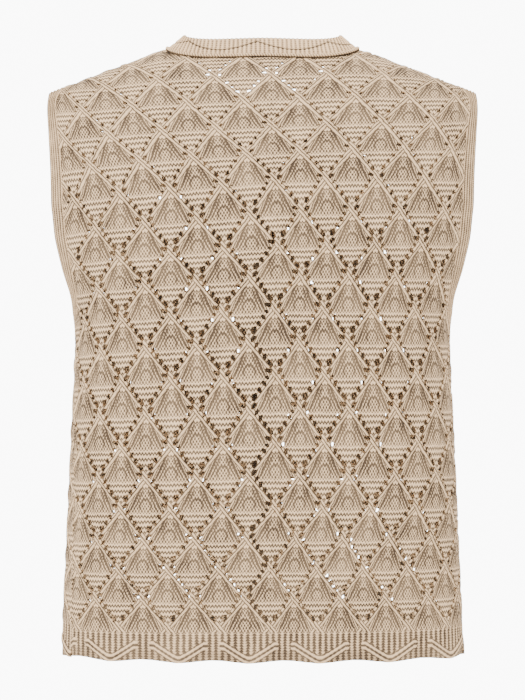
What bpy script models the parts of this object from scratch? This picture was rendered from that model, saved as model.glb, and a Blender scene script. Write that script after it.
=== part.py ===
"""Sleeveless cardigan in diamond leaf lace, filled out as it is when worn.

Metres, +Z up. The back faces -Y and the buttoned front +Y, with the wearer's right at +X.
The origin is the middle of the shoulders, level with the inner ends of the shoulder seams.

Each knitted piece is laid out flat first, in cloth coordinates: across is the distance from
the centre line along the cloth, and up is its height, which below the shoulder blades is the
real height. The form then carries each flat point onto the worn garment.
"""

import math

import bmesh
import bpy
import numpy as np
from mathutils import Vector

# Cloth
WALL = 0.0018
RAISED = 0.0013  # how far the lattice of the lace stands out of the wall
BAND_WALL = 0.0026
SEAM_GAP = 0.0003

# Body of the garment, one row for each level, from the hem up to the shoulder blades.
# lace_row counts lace repeats upwards; the seams are distances from the centre back.
SECTION_COLUMNS = (
    "height", "lace_row", "half_width", "back_depth", "front_depth", "seam_left", "seam_right",
)
SECTIONS = (
    (-0.5410, -0.60, 0.1782, 0.078, 0.084, 0.178, 0.202),
    (-0.5075, 0.00, 0.1768, 0.080, 0.086, 0.178, 0.202),
    (-0.4540, 1.00, 0.1742, 0.083, 0.090, 0.179, 0.203),
    (-0.3995, 2.00, 0.1718, 0.086, 0.094, 0.181, 0.204),
    (-0.3435, 3.00, 0.1692, 0.090, 0.098, 0.187, 0.207),
    (-0.2846, 4.00, 0.1664, 0.094, 0.102, 0.202, 0.212),
    (-0.2500, 4.59, 0.1657, 0.098, 0.103, 0.222, 0.222),
    (-0.2267, 5.00, 0.1694, 0.100, 0.102, 0.226, 0.226),
    (-0.1975, 5.50, 0.1815, 0.102, 0.100, 0.236, 0.236),
    (-0.1700, 6.00, 0.1908, 0.103, 0.097, 0.244, 0.244),
    (-0.1416, 6.50, 0.1950, 0.103, 0.094, 0.250, 0.250),
)
SECTION_POWER = 2.5  # 2 is an ellipse, more is squarer
HEM = SECTIONS[0][0]
ROLL_HEIGHT = SECTIONS[-1][0]  # above this the cloth leans in towards the shoulder seams
ROLL_POWER = 1.6

# Shoulders and neck
NECK_HALF_WIDTH = 0.085
NECK_BACK_DEPTH = 0.033
NECK_RISE = 0.0045  # how much higher the cloth would stand at the middle of the neck
NECK_POWER = 3.0
SHOULDER_SLOPE = math.tan(math.radians(20.6))
SHOULDER_ROUNDING = 0.006
FRONT_NECK_UP = -0.048  # foot of the front neck seam, in flat cloth
FRONT_NECK_POWER = 2.3
FRONT_NECK_POINTS = 16

# Armholes seen from the side, from the shoulder tip down: height, and depth from the seams
ARMHOLE_COLUMNS = ("height", "depth")
ARMHOLE = (
    (-0.0410, 0.0),
    (-0.0520, 0.0105),
    (-0.0700, 0.0210),
    (-0.0850, 0.0285),
    (-0.1000, 0.0350),
    (-0.1200, 0.0415),
    (-0.1416, 0.0450),
    (-0.1560, 0.0450),
    (-0.1700, 0.0436),
    (-0.1840, 0.0413),
    (-0.1975, 0.0375),
    (-0.2100, 0.0330),
    (-0.2200, 0.0275),
    (-0.2280, 0.0210),
    (-0.2340, 0.0120),
    (-0.2365, 0.0),
)
SHOULDER_TIP = 0.1912
SIDE_POINTS = 15
ARMHOLE_POINTS = 30
SHOULDER_POINTS = 8
NECK_POINTS = 11
SHORTEST_EDGE = 0.00015
ARMBAND_WIDTH = 0.018
NECKBAND_WIDTH = 0.020
NECK_MIDDLE = (0.0, 0.0, 0.020)
NECKBAND_STAND = (0.50, 0.36)  # how steeply it stands at the shoulders, and more behind
NECKBAND_LINES = (0.0, 0.33, 0.67, 1.0)
STAND_REACH = 0.05  # in front of the shoulders the band stands less and less over this depth

# Front bands and buttons
BAND_HALF = 0.013
UNDER_BAND_EDGE = 0.008  # the band that carries the buttons ends here, under the other
BAND_LINES = (-0.006, 0.001)
BAND_LEVELS = 20
BAND_STEP = 0.001  # the over band starts to bend down this far past the under band
BUTTON_COUNT = 5
BUTTON_RADIUS = 0.0085
BUTTON_THICKNESS = 0.0032
BUTTON_SEGMENTS = 16
BUTTON_RIM = 0.0016
BUTTON_BEVEL = 0.0008
BUTTON_DISH = 0.0008
TOP_BUTTON_DROP = 0.014
LAST_BUTTON_RISE = 0.030

# Lace: leaf-filled diamonds between crossing diagonals. On the back the pattern sits a
# little to the right, hangs lower on the left, and is stretched over the shoulders.
# shift and pitch are along the cloth; sink and tilt, for each column, lower the pattern.
LACE_COLUMNS = (
    "lace_row", "shift", "left_pitch", "right_pitch", "sink", "left_tilt", "right_tilt",
)
BACK_LACE = (
    (0.0, 0.0070, 0.0446, 0.0405, 0.0030, 0.0005, 0.0000),
    (1.0, 0.0073, 0.0448, 0.0405, 0.0043, 0.0008, 0.0000),
    (2.0, 0.0110, 0.0453, 0.0419, 0.0052, 0.0010, 0.0000),
    (3.0, 0.0112, 0.0452, 0.0427, 0.0046, 0.0016, 0.0000),
    (4.0, 0.0112, 0.0450, 0.0425, 0.0046, 0.0022, 0.0000),
    (5.0, 0.0108, 0.0450, 0.0420, 0.0056, 0.0027, 0.0000),
    (6.0, 0.0138, 0.0464, 0.0422, 0.0080, 0.0030, -0.0012),
    (7.0, 0.0107, 0.0450, 0.0444, 0.0092, 0.0036, -0.0012),
    (8.0, 0.0080, 0.0480, 0.0484, 0.0150, 0.0020, -0.0030),
    (9.0, 0.0080, 0.0500, 0.0500, 0.0150, 0.0020, -0.0030),
)
FRONT_LACE = (
    (0.0, -0.0130, 0.0486, 0.0461, 0.0, 0.0, 0.0),
    (9.0, -0.0130, 0.0486, 0.0461, 0.0, 0.0, 0.0),
)
ROW_ON_SHOULDER = 0.057
DIAGONALS = 22  # diamonds along each diagonal of a panel's blank
CUT_LINES = (0.05, 0.20, 0.76)  # across one diamond: lattice, end of the gap, next slope
FIRST_DIAGONAL = -7
GAP_MARGIN = 0.0105  # no gap is cut nearer to an edge than this
FIRST_LACE_ROW = -0.05
FIRST_GAP_ROW = 0.0
BLANK_MARGIN = 0.030
CUTTER_HALF = 0.010

# Hem scallops, which follow the zigzag of the rib
SCALLOP_PITCH = 0.0615
SCALLOP_SHIFT = -0.0115
SCALLOP_DEPTH = 0.0013
SCALLOP_RISE = 0.4  # how far the middle of the wave stands over the hem, in depths
SCALLOP_POINTS = 6

# Sampling of the form
STEP = 0.002
ACROSS_REACH = 0.300
UP_REACH = 0.080
ARC_SAMPLES = 241
NEWTON_ROUNDS = 30
NEWTON_NUDGE = 0.001
NEWTON_REACH = 0.010
SHARP_ANGLE = math.radians(35)

LACE_COLOUR = (0.56, 0.47, 0.36, 1.0)
RIB_COLOUR = (0.53, 0.44, 0.33, 1.0)
BUTTON_COLOUR = (0.62, 0.53, 0.42, 1.0)


def column(table, names, name):
    return np.array([row[names.index(name)] for row in table])


def smooth(xs, ys, x):
    """A smooth curve through the points (xs, ys), straight beyond both ends."""
    x = np.asarray(x, dtype=float)
    slopes = np.gradient(ys, xs)
    i = np.clip(np.searchsorted(xs, x) - 1, 0, len(xs) - 2)
    width = xs[i + 1] - xs[i]
    t = np.clip((x - xs[i]) / width, 0.0, 1.0)
    inside = (
        (2 * t**3 - 3 * t**2 + 1) * ys[i]
        + (t**3 - 2 * t**2 + t) * width * slopes[i]
        + (3 * t**2 - 2 * t**3) * ys[i + 1]
        + (t**3 - t**2) * width * slopes[i + 1]
    )
    below = np.minimum(x - xs[0], 0.0) * slopes[0]
    above = np.maximum(x - xs[-1], 0.0) * slopes[-1]
    return inside + below + above


def section_value(name, height):
    heights = column(SECTIONS, SECTION_COLUMNS, "height")
    return smooth(heights, column(SECTIONS, SECTION_COLUMNS, name), height)


def shoulder_height(x):
    """Height of the shoulder seam at a distance x from the middle."""
    run = (np.abs(x) - NECK_HALF_WIDTH) / SHOULDER_ROUNDING
    crown = NECK_RISE * np.exp(-2 * (x / NECK_HALF_WIDTH) ** 2)
    return crown - SHOULDER_SLOPE * SHOULDER_ROUNDING * np.logaddexp(0.0, run)


def section_outline(height):
    """Half of a level section, from centre back round the side to centre front."""
    turn = np.linspace(0.0, math.pi, ARC_SAMPLES)
    power = 2.0 / SECTION_POWER
    depth = np.where(
        turn < math.pi / 2, section_value("back_depth", height), section_value("front_depth", height)
    )
    x = section_value("half_width", height) * np.sin(turn) ** power
    y = -depth * np.sign(np.cos(turn)) * np.abs(np.cos(turn)) ** power
    length = np.concatenate([[0.0], np.cumsum(np.hypot(np.diff(x), np.diff(y)))])
    return x, y, length


def rolled(depth, rise, cloth):
    """Depth and rise of the points at these lengths of cloth up the shoulder's profile."""
    turn = np.linspace(0.0, math.pi / 2, ARC_SAMPLES)
    power = 2.0 / ROLL_POWER
    out = depth * np.cos(turn) ** power
    up = rise * np.sin(turn) ** power
    length = np.concatenate([[0.0], np.cumsum(np.hypot(np.diff(out), np.diff(up)))])
    beyond = np.maximum(cloth - length[-1], 0.0)
    return np.interp(cloth, length, out) - np.sign(depth) * beyond, np.interp(cloth, length, up)


class Form:
    """Carries flat cloth onto the worn garment, on the back or on the front."""

    def __init__(self, front):
        self.front = front
        self.across = np.arange(0.0, ACROSS_REACH, STEP)
        self.up = np.arange(HEM - 0.02, UP_REACH, STEP)
        level = [self.level_points(height) for height in self.up[self.up <= ROLL_HEIGHT]]
        base = self.level_points(ROLL_HEIGHT)
        rise = shoulder_height(base[:, 0]) - ROLL_HEIGHT
        cloth = self.up[self.up > ROLL_HEIGHT] - ROLL_HEIGHT
        columns = []
        for (x, y, _), top in zip(base, rise):
            depth, height = rolled(y, top, cloth)
            columns.append(np.stack([np.full_like(cloth, x), depth, ROLL_HEIGHT + height], -1))
        shoulders = np.transpose(np.array(columns), (1, 0, 2))
        self.points = np.concatenate([np.array(level), shoulders])
        along = np.gradient(self.points, axis=1)
        upward = np.gradient(self.points, axis=0)
        normals = np.cross(upward, along) if front else np.cross(along, upward)
        self.normals = normals / np.linalg.norm(normals, axis=2, keepdims=True)

    def level_points(self, height):
        x, y, length = section_outline(height)
        distance = length[-1] - self.across if self.front else self.across
        place = [np.interp(distance, length, x), np.interp(distance, length, y)]
        return np.stack([*place, np.full_like(self.across, height)], -1)

    def look_up(self, table, across, up):
        """Reads a table of the form between its samples, mirrored for the left half."""
        i = np.clip(np.abs(across) / STEP, 0, len(self.across) - 1.001)
        j = np.clip((up - self.up[0]) / STEP, 0, len(self.up) - 1.001)
        i0, j0 = i.astype(int), j.astype(int)
        u, v = (i - i0)[..., None], (j - j0)[..., None]
        low = table[j0, i0] * (1 - u) + table[j0, i0 + 1] * u
        high = table[j0 + 1, i0] * (1 - u) + table[j0 + 1, i0 + 1] * u
        value = low * (1 - v) + high * v
        value[..., 0] *= np.where(across < 0, -1.0, 1.0)
        return value

    def place(self, across, up, lift=0.0):
        across, up = np.asarray(across, dtype=float), np.asarray(up, dtype=float)
        normal = self.look_up(self.normals, across, up)
        normal /= np.linalg.norm(normal, axis=-1, keepdims=True)
        return self.look_up(self.points, across, up) + normal * np.asarray(lift)[..., None]

    def normal(self, across, up):
        value = self.look_up(self.normals, np.asarray(across), np.asarray(up))
        return value / np.linalg.norm(value, axis=-1, keepdims=True)

    def cloth_at(self, axes, targets, start):
        """Flat points whose places have the target coordinates along the two axes."""
        found = []
        guess = np.array(start, dtype=float)
        for target in targets:
            for _ in range(NEWTON_ROUNDS):
                here = self.place(*guess)[list(axes)]
                across = self.place(guess[0] + NEWTON_NUDGE, guess[1])[list(axes)] - here
                upward = self.place(guess[0], guess[1] + NEWTON_NUDGE)[list(axes)] - here
                slopes = np.stack([across, upward], 1) / NEWTON_NUDGE
                move = np.linalg.lstsq(slopes, target - here, rcond=None)[0]
                guess = guess + np.clip(move, -NEWTON_REACH, NEWTON_REACH)
            found.append(guess.copy())
        return np.array(found)


BACK = Form(front=False)
FRONT = Form(front=True)
X_AND_Y, X_AND_Z, Y_AND_Z = (0, 1), (0, 2), (1, 2)


def row_up(lace_row):
    """Height in flat cloth of a row of the lace."""
    rows = column(SECTIONS, SECTION_COLUMNS, "lace_row")
    below = smooth(rows, column(SECTIONS, SECTION_COLUMNS, "height"), np.minimum(lace_row, rows[-1]))
    return below + np.maximum(lace_row - rows[-1], 0.0) * ROW_ON_SHOULDER


def lace_value(lace, name, lace_row):
    rows = column(lace, LACE_COLUMNS, "lace_row")
    return smooth(rows, column(lace, LACE_COLUMNS, name), np.clip(lace_row, rows[0], rows[-1]))


def lace_flat(lace, lace_column, lace_row):
    """Flat points, across and up, of places in the lace."""
    pitch, tilt = (
        np.where(
            lace_column < 0,
            lace_value(lace, "left_" + name, lace_row),
            lace_value(lace, "right_" + name, lace_row),
        )
        for name in ("pitch", "tilt")
    )
    across = lace_value(lace, "shift", lace_row) + pitch * lace_column
    drop = lace_value(lace, "sink", lace_row) + tilt * np.abs(lace_column)
    return np.stack([across, row_up(lace_row) - drop], -1)


def resampled(line, count):
    """A smooth curve through the line's points, with count points evenly along it."""
    length = np.concatenate([[0.0], np.cumsum(np.linalg.norm(np.diff(line, axis=0), axis=1))])
    spots = np.linspace(0.0, length[-1], count)
    return np.stack([smooth(length, axis, spots) for axis in line.T], 1)


def offset(line, distance):
    """The line moved sideways by a distance, to its left when seen from above."""
    along = np.gradient(line, axis=0)
    along /= np.linalg.norm(along, axis=1, keepdims=True)
    return line + distance * np.stack([-along[:, 1], along[:, 0]], 1)


def shoulder_line(form, inner, outer, count, gap):
    """Flat points of the shoulder seam between two distances from the middle."""
    y = gap if form.front else -gap
    spots = [np.array([x, y]) for x in np.linspace(inner, outer, count)]
    return form.cloth_at(X_AND_Y, spots, (inner, 0.03))


def armhole_edge(form):
    """Flat points of the free edge of the armband, from the shoulder tip to the underarm."""
    heights = column(ARMHOLE, ARMHOLE_COLUMNS, "height")
    depths = column(ARMHOLE, ARMHOLE_COLUMNS, "depth") * (1 if form.front else -1)
    tip = shoulder_line(form, SHOULDER_TIP, SHOULDER_TIP, 1, 0.0)
    spots = [np.array(spot) for spot in zip(depths[1:], heights[1:])]
    return resampled(np.concatenate([tip, form.cloth_at(Y_AND_Z, spots, tip[0])]), ARMHOLE_POINTS)


def armhole_seam(form, gap):
    """Flat points of the seam between armband and panel; gap moves it into the panel."""
    edge = armhole_edge(form)
    seam = offset(edge, -(ARMBAND_WIDTH + gap))
    inner_tip = SHOULDER_TIP - (ARMBAND_WIDTH + gap) * math.cos(math.atan(SHOULDER_SLOPE))
    seam[0] = shoulder_line(form, inner_tip, inner_tip, 1, 0.0)[0]
    underarm = edge[-1][1] - (ARMBAND_WIDTH + gap)
    seam[-1] = (side_line(form, underarm), underarm)
    return resampled(seam, ARMHOLE_POINTS)


def side_seam(form, side, bottom, top, gap):
    """Flat points up a side seam; side is -1 on the left and 1 on the right."""
    levels = np.linspace(bottom, top, SIDE_POINTS)
    name = "seam_left" if side < 0 else "seam_right"
    middle = np.array([side_line(BACK, level) for level in levels])
    across = np.minimum(section_value(name, levels), middle)
    if form.front:
        across = np.array([section_outline(level)[2][-1] for level in levels]) - across
    return np.stack([across - gap / 2, levels], 1)


def side_line(form, height):
    """Distance along the cloth from the form's centre line to the middle of the side."""
    _, y, length = section_outline(height)
    middle = float(np.interp(0.0, y, length))
    return length[-1] - middle if form.front else middle


def back_neck():
    """Flat points of the back neck seam, from the middle to the right shoulder."""
    turn = np.linspace(math.pi / 2, 0.0, NECK_POINTS)
    power = 2.0 / NECK_POWER
    x = NECK_HALF_WIDTH * np.abs(np.cos(turn)) ** power
    y = -NECK_BACK_DEPTH * np.sin(turn) ** power
    return BACK.cloth_at(X_AND_Y, list(np.stack([x, y], 1)), (0.001, 0.0))


def front_neck(inner):
    """Flat points of the front neck seam, from the right shoulder to near the centre front."""
    start = shoulder_line(FRONT, NECK_HALF_WIDTH, NECK_HALF_WIDTH, 1, 0.0)[0]
    power = 2.0 / FRONT_NECK_POWER
    turn = np.linspace(0.0, math.acos((inner / start[0]) ** (1 / power)), FRONT_NECK_POINTS)
    across = start[0] * np.abs(np.cos(turn)) ** power
    up = start[1] - (start[1] - FRONT_NECK_UP) * np.sin(turn) ** power
    return np.stack([across, up], 1)


def scallops(across):
    wave = 2 * math.pi * (across - SCALLOP_SHIFT) / SCALLOP_PITCH
    return HEM + SCALLOP_DEPTH * (SCALLOP_RISE - np.cos(wave))


def hem_line(start, end):
    """Flat points along the hem, with its scallops."""
    count = max(2, round(abs(end - start) / (SCALLOP_PITCH / SCALLOP_POINTS)))
    across = np.linspace(start, end, count + 1)
    return np.stack([across, scallops(across)], 1)


def panel_side(form, side, gap):
    """Flat points from the hem up the side, round the armhole and along the shoulder."""
    armhole = armhole_seam(form, gap)[::-1]
    seam = side_seam(form, side, HEM, armhole[0][1], gap)
    inner = NECK_HALF_WIDTH + gap / 2
    outer = form.place(*armhole[-1])[0]
    shoulder = shoulder_line(form, inner, outer, SHOULDER_POINTS, gap / 2)[::-1]
    return np.concatenate([seam, armhole[1:-1], shoulder])


def back_outline():
    right = panel_side(BACK, 1, SEAM_GAP)
    left = panel_side(BACK, -1, SEAM_GAP) * (-1, 1)
    neck = offset(back_neck(), -SEAM_GAP / 2)[1:-1]
    neck_across = np.concatenate([neck[::-1], [[0.0, neck[0][1]]], neck * (-1, 1)])
    hem = hem_line(left[0][0], right[0][0])
    return np.concatenate([hem[:-1], right, neck_across, left[::-1][:-1]])


def front_outline(side):
    outer = panel_side(FRONT, side, SEAM_GAP)
    neck = offset(front_neck(BAND_HALF), SEAM_GAP / 2)
    inner = BAND_HALF + SEAM_GAP
    neck[-1][0] = inner
    hem = hem_line(inner, outer[0][0])
    return np.concatenate([hem[:-1], outer, neck[1:]]) * (side, 1)


def inside_distance(outline, spots):
    """How far each flat point lies inside the outline, or minus how far outside."""
    ends = np.roll(outline, -1, axis=0)
    run = ends - outline
    away = spots[:, None] - outline
    share = np.clip((away * run).sum(-1) / (run * run).sum(-1), 0, 1)
    distance = np.linalg.norm(away - share[..., None] * run, axis=-1).min(1)
    crosses = (outline[:, 1] > spots[:, None, 1]) != (ends[:, 1] > spots[:, None, 1])
    rise = np.where(run[:, 1] == 0, 1e-12, run[:, 1])
    at = outline[:, 0] + (spots[:, None, 1] - outline[:, 1]) / rise * run[:, 0]
    inside = (crosses & (spots[:, None, 0] < at)).sum(1) % 2 == 1
    return np.where(inside, distance, -distance)


def solid_object(name, mesh, collection, finish):
    mesh.materials.clear()
    mesh.materials.append(finish)
    obj = bpy.data.objects.new(name, mesh)
    collection.objects.link(obj)
    mesh.shade_smooth()
    mesh.set_sharp_from_angle(angle=SHARP_ANGLE)
    return obj


def thicken(bm):
    """Closes an open sheet into a slab and returns the vertices of its outer side."""
    result = bmesh.ops.extrude_face_region(bm, geom=bm.faces[:], use_keep_orig=True)
    return [item for item in result["geom"] if isinstance(item, bmesh.types.BMVert)]


def lace_blank(lace, outline):
    """The flat slab of lace that a panel is cut from, with its lattice and its gaps."""
    bm = bmesh.new()
    lines = len(CUT_LINES)
    count = DIAGONALS * lines
    bmesh.ops.create_grid(bm, x_segments=count, y_segments=count, size=0.5)
    on_lattice = bm.verts.layers.int.new("on_lattice")
    slope_lines = [bm.verts.layers.int.new(name) for name in ("slope_right", "slope_left")]
    steps = np.array([vert.co[:2] for vert in bm.verts]) * count + count / 2
    steps = np.rint(steps).astype(int)
    diagonal = FIRST_DIAGONAL + steps // lines + np.array(CUT_LINES)[steps % lines]
    lace_row = diagonal.sum(1) / 2
    lace_column = (diagonal[:, 0] - diagonal[:, 1]) / 2
    flat = lace_flat(lace, lace_column, lace_row)
    raised = (steps % lines == 0).any(1) & (lace_row > FIRST_LACE_ROW)
    for vert, (across, up), mark, step in zip(bm.verts, flat, raised, steps):
        vert.co = (across, up, 0.0)
        vert[on_lattice] = int(mark)
        for layer, line in zip(slope_lines, step):
            vert[layer] = int(line) if line % lines == lines - 1 else 0
    bm.verts.index_update()
    centres = np.array([face.calc_center_median()[:2] for face in bm.faces])
    depth = inside_distance(outline, centres)
    corner = np.array([steps[[v.index for v in face.verts]].min(0) for face in bm.faces])
    is_gap = (corner % lines == 0).all(1) & (depth > GAP_MARGIN)
    is_gap &= centres[:, 1] > row_up(FIRST_GAP_ROW)
    doomed = [face for face, far, gap in zip(bm.faces, depth < -BLANK_MARGIN, is_gap) if far or gap]
    bmesh.ops.delete(bm, geom=doomed, context="FACES")
    for vert in thicken(bm):
        vert.co.z = WALL + RAISED * vert[on_lattice]
    plain = [
        edge for edge in bm.edges
        if max(vert.co.z for vert in edge.verts) == 0.0 and len(edge.link_faces) == 2
        and any(edge.verts[0][layer] == edge.verts[1][layer] > 0 for layer in slope_lines)
        and all(abs(face.calc_center_median().z) == 0.0 for face in edge.link_faces)
    ]
    bmesh.ops.dissolve_edges(bm, edges=plain, use_verts=True)
    bmesh.ops.recalc_face_normals(bm, faces=bm.faces)
    mesh = bpy.data.meshes.new("blank")
    bm.to_mesh(mesh)
    bm.free()
    return mesh, int(is_gap.sum())


def outline_cutter(outline):
    """A prism whose section is the panel's outline."""
    bm = bmesh.new()
    face = bm.faces.new([bm.verts.new((across, up, -CUTTER_HALF)) for across, up in outline])
    extruded = bmesh.ops.extrude_face_region(bm, geom=[face], use_keep_orig=True)
    top = [item for item in extruded["geom"] if isinstance(item, bmesh.types.BMVert)]
    bmesh.ops.translate(bm, verts=top, vec=(0, 0, 2 * CUTTER_HALF))
    bmesh.ops.recalc_face_normals(bm, faces=bm.faces)
    mesh = bpy.data.meshes.new("pattern")
    bm.to_mesh(mesh)
    bm.free()
    return mesh


def lace_panel(name, form, lace, outline, collection, patterns, finish):
    """Cuts a panel out of its flat blank and puts it on the form."""
    blank_mesh, gaps = lace_blank(lace, outline)
    blank = bpy.data.objects.new(name + "_blank", blank_mesh)
    cutter = bpy.data.objects.new(name + "_pattern", outline_cutter(outline))
    for flat_object in (blank, cutter):
        flat_object.hide_render = True
        flat_object.display_type = "WIRE"
        patterns.objects.link(flat_object)
    cut = blank.modifiers.new("cut", "BOOLEAN")
    cut.operation = "INTERSECT"
    cut.solver = "EXACT"
    cut.object = cutter
    bpy.context.view_layer.update()
    evaluated = blank.evaluated_get(bpy.context.evaluated_depsgraph_get())
    mesh = bpy.data.meshes.new_from_object(evaluated)
    mesh.name = name
    bpy.data.objects.remove(blank)
    bm = bmesh.new()
    bm.from_mesh(mesh)
    bmesh.ops.dissolve_degenerate(bm, edges=bm.edges[:], dist=SHORTEST_EDGE)
    low = [face for face in bm.faces if face.calc_center_median().y < ROLL_HEIGHT]
    bmesh.ops.triangulate(bm, faces=low, quad_method="LONG_EDGE")
    bmesh.ops.triangulate(bm, faces=bm.faces[:], quad_method="SHORT_EDGE")
    flat = np.array([vert.co[:] for vert in bm.verts])
    for vert, place in zip(bm.verts, form.place(flat[:, 0], flat[:, 1], flat[:, 2])):
        vert.co = place
    if form.front:
        bmesh.ops.reverse_faces(bm, faces=bm.faces)
    bm.to_mesh(mesh)
    bm.free()
    solid_object(name, mesh, collection, finish)
    return gaps


def wall_between(name, inner, outer, closed, collection, finish):
    """A wall whose two sides are grids of points; closed joins its two ends."""
    rows, columns = inner.shape[:2]
    bm = bmesh.new()
    bmesh.ops.create_grid(bm, x_segments=rows - 1, y_segments=columns - 1, size=0.5)
    ends = (0, rows - 1)
    spot = bm.verts.layers.int.new("spot")
    for vert in bm.verts:
        i = round((vert.co.x + 0.5) * (rows - 1))
        j = round((vert.co.y + 0.5) * (columns - 1))
        vert[spot] = i * columns + j
        vert.co = inner[i, j]
    for vert in thicken(bm):
        vert.co = outer[divmod(vert[spot], columns)]
    if closed:
        rims = [
            face for face in bm.faces
            if any(all(vert[spot] // columns == end for vert in face.verts) for end in ends)
        ]
        bmesh.ops.delete(bm, geom=rims, context="FACES")
        bmesh.ops.remove_doubles(bm, verts=bm.verts, dist=1e-6)
    bmesh.ops.recalc_face_normals(bm, faces=bm.faces)
    bmesh.ops.triangulate(bm, faces=bm.faces[:], quad_method="SHORT_EDGE")
    mesh = bpy.data.meshes.new(name)
    bm.to_mesh(mesh)
    bm.free()
    solid_object(name, mesh, collection, finish)


def between(start, end, share):
    return start + (end - start) * share


def armband(name, side, collection, finish):
    """The ribbed band round an armhole, down the back of it and up the front."""
    inner, outer = [], []
    for form in (BACK, FRONT):
        seam = armhole_seam(form, 0.0)
        edge = armhole_edge(form)
        seam = seam + (edge - seam) * (2 * SEAM_GAP / ARMBAND_WIDTH)
        columns = [between(seam, edge, share) for share in (0.0, 0.5, 1.0)]
        lines = [form.place(line[:, 0], line[:, 1]) for line in columns]
        lifted = [form.place(line[:, 0], line[:, 1], BAND_WALL) for line in columns]
        order = slice(None) if form is BACK else slice(-2, None, -1)
        inner.append(np.stack(lines, 1)[order])
        outer.append(np.stack(lifted, 1)[order])
    mirror = np.array([side, 1, 1])
    inner, outer = np.concatenate(inner) * mirror, np.concatenate(outer) * mirror
    for grid in (inner, outer):
        grid[0] = grid[-1] = (grid[0] + grid[-1]) / 2
    wall_between(name, inner, outer, True, collection, finish)


def neckband(collection, finish):
    """The ribbed band from the centre front round the back neck and to the front again."""
    back, front = back_neck(), front_neck(0.0)[1:]
    seam = np.concatenate([BACK.place(back[:, 0], back[:, 1]), FRONT.place(front[:, 0], front[:, 1])])
    normal = np.concatenate([BACK.normal(back[:, 0], back[:, 1]), FRONT.normal(front[:, 0], front[:, 1])])
    mirror = np.array([-1, 1, 1])
    seam = np.concatenate([seam[:0:-1] * mirror, seam])
    normal = np.concatenate([normal[:0:-1] * mirror, normal])
    along = np.gradient(seam, axis=0)
    inward = np.cross(smooth_along(normal), along)
    inward /= np.linalg.norm(inward, axis=1, keepdims=True)
    inward *= np.sign((inward * (np.array(NECK_MIDDLE) - seam)).sum(1))[:, None]
    stand = NECKBAND_STAND[0] * np.clip(1 - np.maximum(seam[:, 1], 0.0) / STAND_REACH, 0.0, 1.0)
    stand += NECKBAND_STAND[1] * np.clip(-seam[:, 1] / NECK_BACK_DEPTH, 0.0, 1.0)
    rise = inward + stand[:, None] * np.array([0, 0, 1])
    rise /= np.linalg.norm(rise, axis=1, keepdims=True)
    face = np.cross(along, rise)
    face /= np.linalg.norm(face, axis=1, keepdims=True)
    face *= np.sign((face * normal).sum(1))[:, None]
    inner, outer = [], []
    for share in NECKBAND_LINES:
        line = seam + rise * between(SEAM_GAP, NECKBAND_WIDTH, share)
        direction = normal if share == 0.0 else face
        inner.append(line)
        outer.append(line + direction * BAND_WALL)
    inner, outer = np.stack(inner, 1), np.stack(outer, 1)
    half = len(seam) // 2
    for grid in (inner, outer):
        grid[:half, :, 0] = np.minimum(grid[:half, :, 0], -SEAM_GAP / 2)
        grid[half + 1 :, :, 0] = np.maximum(grid[half + 1 :, :, 0], SEAM_GAP / 2)
    wall_between("neckband", inner, outer, False, collection, finish)


def smooth_along(vectors):
    """Each vector averaged with its neighbours, at unit length."""
    padded = np.concatenate([vectors[:1], vectors, vectors[-1:]])
    mean = padded[:-2] + 2 * padded[1:-1] + padded[2:]
    return mean / np.linalg.norm(mean, axis=1, keepdims=True)


def button_band(name, profile, collection, finish):
    """A front band; its profile is a row of (across, lift) of the wall's inner side."""
    levels = np.linspace(HEM, FRONT_NECK_UP, BAND_LEVELS)
    across = np.array([spot[0] for spot in profile])
    lift = np.array([spot[1] for spot in profile])
    grid_across = np.broadcast_to(across, (len(levels), len(across)))
    grid_up = np.broadcast_to(levels[:, None], grid_across.shape)
    grid_lift = np.broadcast_to(lift, grid_across.shape)
    inner = FRONT.place(grid_across, grid_up, grid_lift)
    outer = FRONT.place(grid_across, grid_up, grid_lift + BAND_WALL)
    wall_between(name, inner, outer, False, collection, finish)


def button(name, height, collection, finish):
    """A round button with a rim and a shallow dish."""
    seat = FRONT.place(0.0, height, 2 * (BAND_WALL + SEAM_GAP))
    bm = bmesh.new()
    bmesh.ops.create_cone(
        bm, cap_ends=True, segments=BUTTON_SEGMENTS, radius1=BUTTON_RADIUS, radius2=BUTTON_RADIUS,
        depth=BUTTON_THICKNESS,
    )
    bmesh.ops.translate(bm, verts=bm.verts, vec=(0, 0, BUTTON_THICKNESS / 2))
    top = max(bm.faces, key=lambda face: face.calc_center_median().z)
    bmesh.ops.bevel(
        bm, geom=top.edges[:], offset=BUTTON_BEVEL, segments=1, profile=0.5, affect="EDGES",
        material=-1,
    )
    top = max(bm.faces, key=lambda face: (len(face.verts), face.calc_center_median().z))
    bmesh.ops.inset_region(bm, faces=[top], thickness=BUTTON_RIM, depth=0.0)
    bmesh.ops.inset_region(bm, faces=[top], thickness=BUTTON_DISH, depth=-BUTTON_DISH)
    mesh = bpy.data.meshes.new(name)
    bm.to_mesh(mesh)
    bm.free()
    obj = solid_object(name, mesh, collection, finish)
    obj.location = seat
    obj.rotation_euler = Vector(FRONT.normal(0.0, height)).to_track_quat("Z", "Y").to_euler()


def material(name, colour, roughness):
    made = bpy.data.materials.new(name)
    made.use_nodes = True
    shader = made.node_tree.nodes["Principled BSDF"]
    shader.inputs["Base Color"].default_value = colour
    shader.inputs["Roughness"].default_value = roughness
    shader.inputs["Metallic"].default_value = 0.0
    return made


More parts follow.
